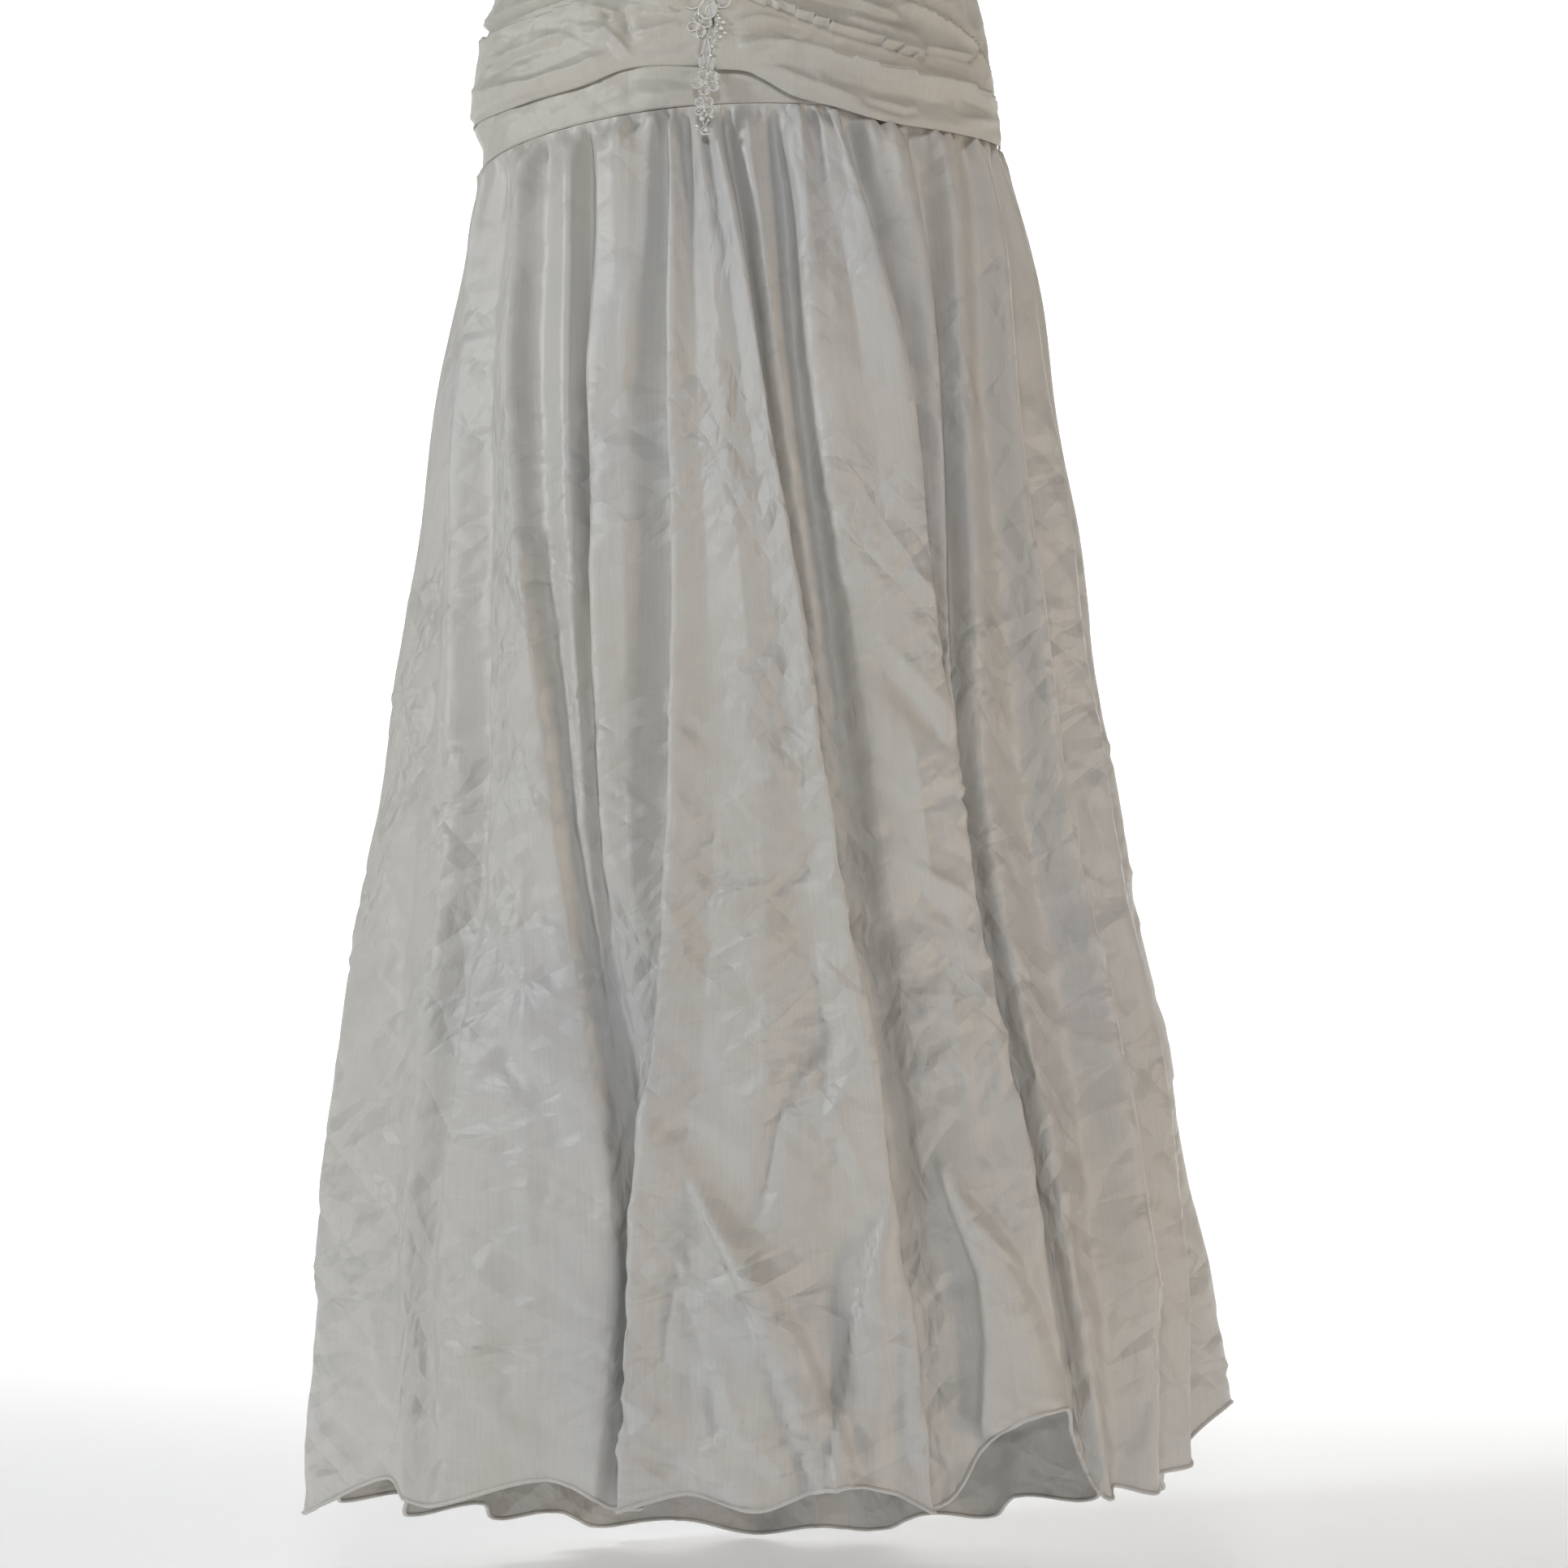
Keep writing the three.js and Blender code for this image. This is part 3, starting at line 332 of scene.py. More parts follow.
DRAPE_LEFT = Drape(
    lower=((1.4, -127), (8.5, -129), (12.5, -135), (18.8, -146), (28, -153), (38.8, -161), (54, -164),
           (89.6, -166)),
    slack=0,
    bag=1,
    turn=0.6,
    folds=(
        Crease("lap", ((4, 60), (32, 54), (62, 48), (88, 40)), 3.0, 3.0),
        Crease("underlap", ((6, 40), (30, 36), (58, 22), (88, 14)), 3.2, 3.0),
        Crease("lap", ((10, 18), (36, 10), (64, -2), (88, -8)), 3.0, 2.8),
        Crease("ridge", ((14, 6), (38, -6), (60, -16)), 3.4, 1.8),
        Crease("underlap", ((8, -4), (34, -18), (62, -30), (88, -36)), 3.2, 3.4),
        Crease("lap", ((12, -26), (34, -38), (60, -52), (86, -60)), 3.0, 3.0),
        Crease("lap", ((6, -76), (9.5, -80), (15.8, -86), (21.5, -93), (29, -101), (40.5, -109),
                       (49.8, -115)), 3.4, 4.2),
        Crease("underlap", ((16.8, -107), (22.8, -111), (28.2, -116), (34, -120), (42.2, -125),
                            (51.5, -128), (59.8, -129), (72, -132), (84, -139)), 2.8, 4.4),
        Crease("trough", ((50, -118), (62, -121), (74, -125)), 4.0, 2.6),
        Crease("underlap", ((48, -78), (59.5, -87), (70.2, -102), (84.5, -123)), 2.8, 3.2),
        Crease("trough", ((54.5, -76), (66.8, -85), (79.5, -100)), 3.6, 2.4),
        Crease("lap", ((49.8, -115), (51, -110), (59.3, -110), (67.8, -111), (71, -103)), 2.2, 2.4),
        Crease("step", ((34.5, -148), (43.8, -154), (46.5, -151)), 3.0, 1.8),
        Crease("ridge", ((61, -154), (74, -152), (86, -148)), 3.4, 1.8),
        Crease("ridge", ((6, -97), (11, -92), (17, -95)), 2.8, 2.0),
        Crease("trough", ((9, -104), (14, -101), (20, -104)), 2.8, 1.8),
        Crease("ridge", ((7, -112), (13, -108), (19, -112)), 2.8, 1.6),
        Crease("step", ((22, -78), (32, -82), (44, -92)), 4.0, 1.5),
        Crease("ridge", ((30, -92), (40, -97), (50, -103)), 3.4, 1.4),
        Crease("trough", ((26, -134), (38, -141), (54, -146)), 4.6, 1.2),
        Crease("step", ((62, -138), (74, -142)), 3.6, 1.2),
        Crease("ridge", ((15, -128), (23, -138), (32, -147)), 4.0, 1.8),
    ),
)
# Height of the drapes' upper edge at centre front and at the side seam, how far they stand off the
# bodice there and elsewhere, the height of the turned lower edge, and the depth of creases and facets.
DRAPE_TOP_AT_FRONT = 88
DRAPE_TOP_AT_SIDE = 62
DRAPE_OFF = 1.6
DRAPE_LIFT = 4.4
TURN_HEIGHT = 9
DRAPE_CREASES = 2.3
DRAPE_FACETS = 1.4
DRAPE_CRUMPLE = 0.7

# Folds of the plain band between the drapes and the waist seam, with the full tab at centre front.
BAND_FOLDS = [
    Crease("lap", ((-16.5, -128), (-10, -127), (-3.7, -130)), 2.4, 2.0),
    Crease("trough", ((-11, -131), (-4, -134)), 2.4, 1.6),
    Crease("ridge", ((-15.6, -140), (-9, -143), (-3, -141)), 4.0, 2.6),
    Crease("trough", ((-18.6, -128), (-18.2, -143)), 3.0, 2.0),
    Crease("step", ((-62, -149), (-52, -146)), 3.0, 1.4),
    Crease("ridge", ((-50, -148), (-44, -141)), 3.0, 1.4),
    Crease("trough", ((-40, -145), (-35, -139)), 3.0, 1.5),
    Crease("ridge", ((-34, -145), (-30, -137)), 2.8, 1.2),
    Crease("step", ((-27, -143), (-21, -134)), 3.0, 1.2),
    Crease("trough", ((-72, -150), (-66, -158)), 3.4, 1.6),
    Crease("step", ((4, -138), (10, -141)), 2.6, 1.0),
]

Motif = namedtuple("Motif", "z x radius petals")

# The chain of the applique from the top down: corded flowers with their petals, and a drop at the
# end. A flower with no petals is a spot of net with beads.
MOTIFS = [
    Motif(146, 0, 13, 5), Motif(122, -5, 9, 4), Motif(101, 2, 15, 5), Motif(77, -5, 9, 4),
    Motif(56, 2, 14, 5), Motif(33, -5, 9, 4), Motif(13, 1, 15, 5), Motif(-10, -5, 9, 4),
    Motif(-31, 2, 13, 5), Motif(-52, -4, 8, 4), Motif(-77, 0, 16, 5), Motif(-97, -5, 8, 4),
    Motif(-111, 0, 8, 0), Motif(-122, 1, 7, 0), Motif(-137, 1, 9, 5), Motif(-154, 0, 7, 4),
    Motif(-167, 1, 6, 1),
]
# Clear beads beside the chain and pearls at its tip: height, place to the wearer's left, radius.
CLEAR_BEADS = [
    (-93, 8, 1.3), (-96, 11, 1.5), (-97.5, 6.5, 1.2), (-100, 9.5, 1.6), (-102, 6, 1.2), (-103, 12, 1.3),
    (-105.5, 9, 1.5), (-108, 6, 1.1), (-112, 4, 1.2), (-118, 3, 1.1), (-126, -2, 1.1), (-129, 3, 1.2),
]
TIP_PEARLS = [(-153, 0.5, 1.8), (-162, -1.5, 1.9), (-161, 4.5, 1.5), (-170, 1, 1.7)]

# How far the lace stands off the plain body over the bodice and over the skirt, the height where it
# steps from one to the other, its thickness, and the sway, half width and wave of its net stem.
LACE_OVER_BODICE = 6.6
LACE_OVER_SKIRT = 12.4
LACE_STEP = -122
LACE_THICK = 1.6
STEM_SWAY = 2.4
NET_HALF = 6.5
STEM_WAVE = 42


def smooth(xs, ys, at):
    """Values at `at` on a smooth curve through a table, level beyond its ends."""
    xs, ys = np.asarray(xs, float), np.asarray(ys, float)
    at = np.clip(np.asarray(at, float), xs[0], xs[-1])
    i = np.clip(np.searchsorted(xs, at, side="right") - 1, 0, len(xs) - 2)
    before = np.maximum(np.arange(len(xs)) - 1, 0)
    after = np.minimum(np.arange(len(xs)) + 1, len(xs) - 1)
    slope = (ys[after] - ys[before]) / (xs[after] - xs[before])
    span = xs[i + 1] - xs[i]
    t = (at - xs[i]) / span
    return ((2 * t**3 - 3 * t**2 + 1) * ys[i] + (t**3 - 2 * t**2 + t) * span * slope[i]
            + (3 * t**2 - 2 * t**3) * ys[i + 1] + (t**3 - t**2) * span * slope[i + 1])


def bell(distance):
    """1 at 0, dying away smoothly on both sides."""
    return np.exp(-np.square(distance))


def soft_step(value):
    """0 below 0, 1 above 1, smooth between."""
    t = np.clip(value, 0, 1)
    return t * t * (3 - 2 * t)


def section_size(name, z):
    """One measure of the plain body at heights, between the rows of the table."""
    depths = [-row.z for row in SECTIONS]
    return smooth(depths, [getattr(row, name) for row in SECTIONS], -np.asarray(z, float))


def body_point(angle, z, out):
    """Points of the plain body at angles and heights, moved straight out from it."""
    angle, z = np.broadcast_arrays(np.asarray(angle, float), np.asarray(z, float))
    sin, cos = np.sin(np.radians(angle)), np.cos(np.radians(angle))
    half = section_size("half", z)
    depth = np.where(cos > 0, section_size("front", z), section_size("back", z))
    x, y = sin / half, -cos / depth
    size = np.hypot(x, y)
    lean = section_size("lean", z)
    return np.stack([half * sin + x / size * out + lean, -depth * cos + y / size * out, z], -1)


def angle_of(points):
    """The angle round the body of each point."""
    z = points[..., 2]
    front = section_size("front", z)
    depth = np.where(points[..., 1] < 0, front, section_size("back", z))
    across = (points[..., 0] - section_size("lean", z)) / section_size("half", z)
    return np.degrees(np.arctan2(across, -points[..., 1] / depth))


def cup_out(angle, z):
    """How far the cups stand out from the plain body."""
    across = (np.abs(angle) - CUP_ANGLE) / CUP_SPREAD
    out = CUP_OUT * bell(across) * bell((z - CUP_HEIGHT) / CUP_TALL)
    return np.where(np.cos(np.radians(angle)) > 0, out, 0)


def seam_height(angle):
    """The height of the waist seam round the body."""
    sin, cos = np.sin(np.radians(angle)), np.cos(np.radians(angle))
    return SEAM_AT_FRONT - SEAM_DIP * np.where(cos > 0, sin * sin, 1) + SEAM_TILT * sin


def neck_height(angle):
    """The height of the neckline round the body."""
    front = NECK_AT_SIDE + CUP_RISE * bell((np.abs(angle) - CUP_ANGLE) / CUP_SPREAD)
    share = (1 + np.cos(2 * np.radians(angle))) / 2
    back = NECK_AT_SIDE + (NECK_AT_BACK - NECK_AT_SIDE) * share
    return np.where(np.cos(np.radians(angle)) > 0, front, back)


def curve_through(points, steps, closed=False):
    """A rounded curve (centripetal Catmull-Rom) through points (n, ..., 3), `steps[i]` samples each."""
    count = len(points)
    if not closed:
        points = np.concatenate([2 * points[:1] - points[1:2], points, 2 * points[-1:] - points[-2:-1]])
    samples = []
    for i in range(count if closed else count - 1):
        k = i if closed else i + 1
        p0, p1, p2, p3 = (points[(k + j) % len(points)] for j in (-1, 0, 1, 2))
        d0, d1, d2 = (np.maximum(np.sqrt(np.linalg.norm(b - a, axis=-1, keepdims=True)), 1e-4)
                      for a, b in ((p0, p1), (p1, p2), (p2, p3)))
        m1 = ((p1 - p0) / d0 - (p2 - p0) / (d0 + d1) + (p2 - p1) / d1) * d1
        m2 = ((p2 - p1) / d1 - (p3 - p1) / (d1 + d2) + (p3 - p2) / d2) * d1
        for step in range(steps[i]):
            t = step / steps[i]
            samples.append((2 * t**3 - 3 * t**2 + 1) * p1 + (t**3 - 2 * t**2 + t) * m1
                           + (3 * t**2 - 2 * t**3) * p2 + (t**3 - t**2) * m2)
    if not closed:
        samples.append(points[-2])
    return np.array(samples)


# ---------------------------------------------------------------------------------------------
# Relief of the cloth
# ---------------------------------------------------------------------------------------------

def beside_path(angle, z, path, reach):
    """Places within reach of a path of (angle, height) points: which they are, the distance across
    (positive under a path that runs to the wearer's left), the share along it and the distance
    beyond its ends, in mm."""
    mid_z = sum(point[1] for point in path) / len(path)
    round_mm = math.radians(1) * section_size("half", mid_z)
    xs, zs = [point[0] * round_mm for point in path], [point[1] for point in path]
    x = angle * round_mm
    near = (x > min(xs) - reach) & (x < max(xs) + reach)
    near &= (z > min(zs) - reach) & (z < max(zs) + reach)
    x, y = x[near], z[near]
    lengths = [math.hypot(xs[i + 1] - xs[i], zs[i + 1] - zs[i]) for i in range(len(xs) - 1)]
    best = np.full(x.shape, 1e9)
    across, share, beyond = np.zeros_like(x), np.zeros_like(x), np.zeros_like(x)
    before = 0
    for i, length in enumerate(lengths):
        dx, dy = (xs[i + 1] - xs[i]) / length, (zs[i + 1] - zs[i]) / length
        px, py = x - xs[i], y - zs[i]
        on = px * dx + py * dy
        past = np.maximum(np.abs(on - length / 2) - length / 2, 0)
        off = px * dy - py * dx
        distance = np.hypot(off, past)
        nearer = distance < best
        best = np.where(nearer, distance, best)
        across = np.where(nearer, off, across)
        share = np.where(nearer, (before + np.clip(on, 0, length)) / sum(lengths), share)
        beyond = np.where(nearer, past, beyond)
        before += length
    return near, across, share, beyond


def crease_relief(angle, z, creases):
    """How far each place is pressed out or in by the creases near it."""
    relief = np.zeros_like(z)
    for crease in creases:
        near, across, share, beyond = beside_path(angle, z, crease.path, 7 * crease.half)
        line = across / crease.half
        deep = 0.3 + 0.7 * np.sqrt(np.clip(1 - np.abs(2 * share - 1), 0, 1))
        fade = bell(beyond / crease.half) * deep
        if crease.kind == "ridge":
            shape = np.exp(-np.abs(line) ** 1.2)
        elif crease.kind == "trough":
            shape = -np.exp(-np.abs(line) ** 1.3)
        elif crease.kind == "gather":
            shape = np.exp(-np.abs(line) ** 1.3) - 0.6 * bell(np.abs(line) - 2.2)
            fade = bell(beyond / crease.half) * np.clip(1 - share, 0, 1) ** 0.65
        elif crease.kind == "step":
            shape = -1.6 * line * bell(line)
        else:
            upper = np.where(crease.kind == "lap", -line, line)
            shape = np.where(upper > 0, np.exp(-upper / 2.6), -0.7 * np.exp(upper / 1.6))
        relief[near] += crease.depth * fade * shape
    return relief


def band_relief(angle, z, bands):
    """Folded bands: a raised strip with one crisp and one soft edge, wider towards its lower end."""
    relief = np.zeros_like(z)
    for band in bands:
        near, across, share, beyond = beside_path(angle, z, band.path, 60)
        half = band.half_start + (band.half_end - band.half_start) * share
        crisp = soft_step((half - across) / 4)
        soft = soft_step((half + across) / 15)
        relief[near] += band.out * soft_step(share * 3.2) * crisp * soft * bell(beyond / 6)
    return relief


# The lattice of random heights under the facets: its size and the skew that makes its squares even
# triangles; and a full turn of a random phase.
LATTICE = 128
LATTICE_SKEW = 0.36602540
FULL_TURN = 6.28


def facet_relief(x, z, size, seed, slant=0.5):
    """Flat facets with sharp creases between them, as in crushed taffeta: random heights at the
    corners of a bent lattice of triangles, level between them. Sizes in mm, heights about 1."""
    draw = np.random.default_rng(seed)
    heights = draw.uniform(-1, 1, (LATTICE, LATTICE))
    phase = draw.uniform(0, FULL_TURN, 6)
    u = (x * math.cos(slant) + z * math.sin(slant)) / size
    v = (z * math.cos(slant) - x * math.sin(slant)) / (0.7 * size)
    bend_u = 0.34 * np.sin(0.9 * v + phase[0]) + 0.22 * np.sin(2.3 * u + 1.1 * v + phase[1])
    bend_v = 0.34 * np.sin(0.8 * u + phase[2]) + 0.22 * np.sin(1.9 * v - 1.3 * u + phase[3])
    u, v = u + bend_u, v + bend_v
    skew = LATTICE_SKEW * (u + v)
    a, b = u + skew, v + skew
    i, j = np.floor(a).astype(int), np.floor(b).astype(int)
    a, b = a - i, b - j

    def corner(di, dj):
        return heights[(i + di) % LATTICE, (j + dj) % LATTICE]

    right = a > b
    middle = np.where(right, corner(1, 0), corner(0, 1))
    high, low = np.maximum(a, b), np.minimum(a, b)
    return corner(0, 0) * (1 - high) + middle * (high - low) + corner(1, 1) * low


def crush_relief(x, z, seed):
    """Crushed taffeta: large, middling and small facets, about 1 high in all."""
    large = facet_relief(x, z, 70, seed, 0.5)
    middling = facet_relief(x, z, 36, seed + 1, -0.7)
    small = facet_relief(x, z, 18, seed + 2, 0.9)
    return large + 0.6 * middling + 0.34 * small


def patches(x, z, seed):
    """Slow uneven cover from 0 to 1 over the cloth."""
    draw = np.random.default_rng(seed)
    cover = np.zeros_like(x)
    for _ in range(5):
        turn, phase = draw.uniform(0, FULL_TURN), draw.uniform(0, FULL_TURN)
        along = x * math.cos(turn) + z * math.sin(turn)
        cover += np.sin(along * FULL_TURN / draw.uniform(90, 260) + phase)
    return soft_step(0.5 + 0.28 * cover)


def grown(growth, below):
    """The share of a relief at places this far below the waist seam."""
    return growth.first + growth.more * soft_step((below - growth.start) / growth.span)


def strewn_creases(strewn):
    """Short creases in every slanting direction."""
    draw = np.random.default_rng(strewn.seed)
    creases = []
    for _ in range(strewn.count):
        z = strewn.high + (strewn.low - strewn.high) * draw.random() ** 0.8
        angle = strewn.first + (strewn.last - strewn.first) * draw.random()
        round_mm = math.radians(1) * float(section_size("half", z))
        length = draw.uniform(*strewn.reach)
        slope = draw.uniform(0.15, 1.0) * draw.choice((-1, 1))
        bow = draw.uniform(-0.12, 0.12) * length
        run, rise = length * math.cos(slope) / 2, length * math.sin(slope) / 2
        path = ((angle - run / round_mm, z - rise),
                (angle - bow * math.sin(slope) / round_mm, z + bow * math.cos(slope)),
                (angle + run / round_mm, z + rise))
        kind = ("ridge", "trough", "step", "lap")[draw.integers(4)]
        half = draw.uniform(2.6, 4.6)
        depth = draw.uniform(*strewn.depth) * (0.5 if kind == "lap" else 1)
        creases.append(Crease(kind, path, half, depth))
    return creases


def scattered_gathers(first_angle, last_angle, seed):
    """Gathers under the waist seam at uneven distances."""
    draw = np.random.default_rng(seed)
    gathers = []
    angle = first_angle
    while angle < last_angle:
        top = float(seam_height(angle))
        sway = draw.uniform(-1.2, 1.2)
        length = draw.uniform(70, 210)
        path = ((angle, top), (angle + sway, top - length / 2), (angle + 2.2 * sway, top - length))
        gathers.append(Crease("gather", path, draw.uniform(2.2, 4.0), draw.uniform(2.2, 4.4)))
        angle += draw.uniform(3.2, 6.4)
    return gathers


# ---------------------------------------------------------------------------------------------
# Mesh helpers
# ---------------------------------------------------------------------------------------------

def mesh_object(name, points, faces, uvs=None):
    """An object from points in millimetres, smooth shaded."""
    mesh = bpy.data.meshes.new(name)
    mesh.from_pydata((np.asarray(points, float).reshape(-1, 3) * MM).tolist(), [], faces)
    mesh.polygons.foreach_set("use_smooth", [True] * len(mesh.polygons))
    if uvs is not None:
        layer = mesh.uv_layers.new(name="cloth")
        corners = np.empty(len(mesh.loops), np.int64)
        mesh.loops.foreach_get("vertex_index", corners)
        layer.data.foreach_set("uv", np.asarray(uvs, float).reshape(-1, 2)[corners].ravel())
    mesh.update()
    piece = bpy.data.objects.new(name, mesh)
    bpy.context.scene.collection.objects.link(piece)
    return piece


def grid_faces(rows, columns, start=0, wrap=False, flip=False):
    """The four-sided faces of a grid of points, joined into a ring with wrap."""
    across = columns if wrap else columns - 1
    r, c = np.meshgrid(np.arange(rows - 1), np.arange(across), indexing="ij")
    right = (c + 1) % columns
    here, below = r * columns, (r + 1) * columns
    corners = np.stack([here + c, below + c, below + right, here + right], -1).reshape(-1, 4) + start
    return (corners[:, ::-1] if flip else corners).tolist()


def along_rows(points):
    """How far along its row of cloth each point of a grid lies."""
    steps = np.diff(points, axis=1, prepend=points[:, :1])
    return np.cumsum(np.linalg.norm(steps, axis=-1), axis=1)


def grid_normals(points):
    """Unit normals of a grid of points, out of the body for rows that run down and columns round."""
    down = np.gradient(points, axis=0)
    across = np.gradient(points, axis=1)
    normal = np.cross(down, across)
    return normal / np.maximum(np.linalg.norm(normal, axis=-1, keepdims=True), 1e-9)


def shell_mesh(name, outer, thickness, uvs):
    """A closed wall of cloth behind a grid of outer points."""
    rows, columns = outer.shape[:2]
    inner = outer - grid_normals(outer) * thickness
    faces = grid_faces(rows, columns) + grid_faces(rows, columns, rows * columns, flip=True)
    size = rows * columns
    top = [(c, c + 1, size + c + 1, size + c) for c in range(columns - 1)]
    low = (rows - 1) * columns
    bottom = [(low + c + 1, low + c, size + low + c, size + low + c + 1) for c in range(columns - 1)]
    left = [(r * columns, size + r * columns, size + (r + 1) * columns, (r + 1) * columns)
            for r in range(rows - 1)]
    last = columns - 1
    right = [(r * columns + last, (r + 1) * columns + last, size + (r + 1) * columns + last,
              size + r * columns + last) for r in range(rows - 1)]
    points = np.concatenate([outer.reshape(-1, 3), inner.reshape(-1, 3)])
    both = np.concatenate([uvs.reshape(-1, 2)] * 2)
    return mesh_object(name, points, faces + top + bottom + left + right, both)


def tube_points(path, radius, sides, closed=False):
    """Rings of a tube along a path (n, 3), turning with it."""
    ahead = np.roll(path, -1, 0) - np.roll(path, 1, 0)
    if not closed:
        ahead[0], ahead[-1] = path[1] - path[0], path[-1] - path[-2]
    ahead /= np.maximum(np.linalg.norm(ahead, axis=1, keepdims=True), 1e-9)
    up = np.tile((0.0, 0.0, 1.0), (len(path), 1))
    steep = np.abs(ahead[:, 2]) > 0.9
    up[steep] = (0.0, 1.0, 0.0)
    side = np.cross(ahead, up)
    side /= np.linalg.norm(side, axis=1, keepdims=True)
    up = np.cross(side, ahead)
    turn = np.linspace(0, 2 * math.pi, sides, endpoint=False)
    cos, sin = np.cos(turn)[:, None], np.sin(turn)[:, None]
    return path[:, None] + radius * (cos * side[:, None] + sin * up[:, None])


class Parts:
    """Gathers many small shapes into one mesh."""

    def __init__(self):
        self.points = []
        self.faces = []
        self.count = 0

    def grid(self, points, wrap=False, flip=False):
        rows, columns = points.shape[:2]
        self.faces += grid_faces(rows, columns, self.count, wrap, flip)
        self.points.append(points.reshape(-1, 3))
        self.count += rows * columns

    def tube(self, path, radius, sides, closed=False):
        rings = tube_points(path, radius, sides, closed)
        if closed:
            rings = np.concatenate([rings, rings[:1]])
        self.grid(rings, wrap=True)

    def bead(self, centre, radius, rings=5, sides=8):
        tilt = np.linspace(0.02, math.pi - 0.02, rings + 1)
        turn = np.linspace(0, 2 * math.pi, sides, endpoint=False)
        shape = np.stack([np.sin(tilt)[:, None] * np.cos(turn), np.sin(tilt)[:, None] * np.sin(turn),
                          np.repeat(np.cos(tilt)[:, None], sides, 1)], -1)
        self.grid(centre + radius * shape, wrap=True)

    def build(self, name):
        return mesh_object(name, np.concatenate(self.points), self.faces)


# ---------------------------------------------------------------------------------------------
# Finishes
# ---------------------------------------------------------------------------------------------

class Wire:
    """A node's output that works in Python expressions, each adding its Math node."""

    def __init__(self, finish, socket):
        self.finish = finish
        self.socket = socket

    def _math(self, operation, first, second):
        return self.finish.node("ShaderNodeMath", {"operation": operation}, [first, second])

    def __add__(self, other):
        return self._math("ADD", self, other)

    def __radd__(self, other):
        return self._math("ADD", other, self)

    def __mul__(self, other):
        return self._math("MULTIPLY", self, other)

    def __rmul__(self, other):
        return self._math("MULTIPLY", other, self)


class Finish:
    """A material and the nodes that make its cloth, thread or bead."""

    def __init__(self, name):
        self.material = bpy.data.materials.new(name)
        self.material.use_nodes = True
        self.tree = self.material.node_tree
        self.surface = self.tree.nodes["Principled BSDF"]

    def node(self, kind, settings=None, inputs=(), output=0):
        """Adds a node: settings first, then the values or wires of its sockets by name or order."""
        node = self.tree.nodes.new(kind)
        for key, value in (settings or {}).items():
            if key == "ramp":
                self._ramp(node, value)
            else:
                setattr(node, key, value)
        pairs = inputs.items() if isinstance(inputs, dict) else enumerate(inputs)
        for key, value in pairs:
            self._feed(node.inputs[key], value)
        return Wire(self, node.outputs[output])

    def _ramp(self, node, stops):
        elements = node.color_ramp.elements
        while len(elements) < len(stops):
            elements.new(1.0)
        for element, (position, colour) in zip(elements, stops):
            element.position = position
            element.color = colour

    def _feed(self, socket, value):
        if isinstance(value, Wire):
            self.tree.links.new(value.socket, socket)
        else:
            socket.default_value = value

    def set(self, **values):
        """Sets the surface's own sockets, named with underscores for spaces."""
        for key, value in values.items():
            self._feed(self.surface.inputs[key.replace("_", " ")], value)

    def cloth_place(self):
        """Places on the cloth: round the body and up it, in metres."""
        return self.node("ShaderNodeUVMap", {"uv_map": "cloth"})

    def body_place(self):
        """Places in the dress's own frame, in metres."""
        return self.node("ShaderNodeTexCoord", output=3)

    def scaled(self, place, scale):
        return self.node("ShaderNodeMapping", {}, {"Vector": place, "Scale": scale})

    def clouds(self, place, scale, detail=3.0, dimensions="3D"):
        return self.node("ShaderNodeTexNoise", {"noise_dimensions": dimensions}, {
            "Vector": place, "Scale": scale, "Detail": detail})

    def facets(self, place, turn, cell):
        """Flat facets with crisp creases between them, in long slanting cells."""
        turned = self.node("ShaderNodeMapping", {"vector_type": "TEXTURE"}, {
            "Vector": place, "Rotation": (0.0, 0.0, math.radians(turn)), "Scale": cell})
        settings = {"voronoi_dimensions": "2D", "feature": "DISTANCE_TO_EDGE"}
        return self.node("ShaderNodeTexVoronoi", settings, {"Vector": turned, "Scale": 1.0})

    def tint(self, share, first, second):
        """A colour between two others."""
        colours = {0: share, 6: first, 7: second}
        return self.node("ShaderNodeMix", {"data_type": "RGBA"}, colours, output=2)

    def ramp(self, value, stops):
        return self.node("ShaderNodeValToRGB", {"ramp": stops}, [value])

    def bump(self, height, distance, strength=1.0, under=None):
        inputs = {"Height": height, "Distance": distance, "Strength": strength}
        if under is not None:
            inputs["Normal"] = under
        return self.node("ShaderNodeBump", {}, inputs)


def opaque(colour, share=1.0):
    """A colour, or a darker share of it, as a node takes it."""
    return tuple(share * part for part in colour) + (1.0,)


def grey(value):
    return opaque((value, value, value))


# Heights of the satin's bump in metres, and the heights on the dress between which its facets grow
# from a share to their full depth.
THREAD_BUMP = 0.00012
CREASE_BUMP = 0.0070
FACETS_CALM_AT = -0.20
FACETS_FULL_AT = -0.48


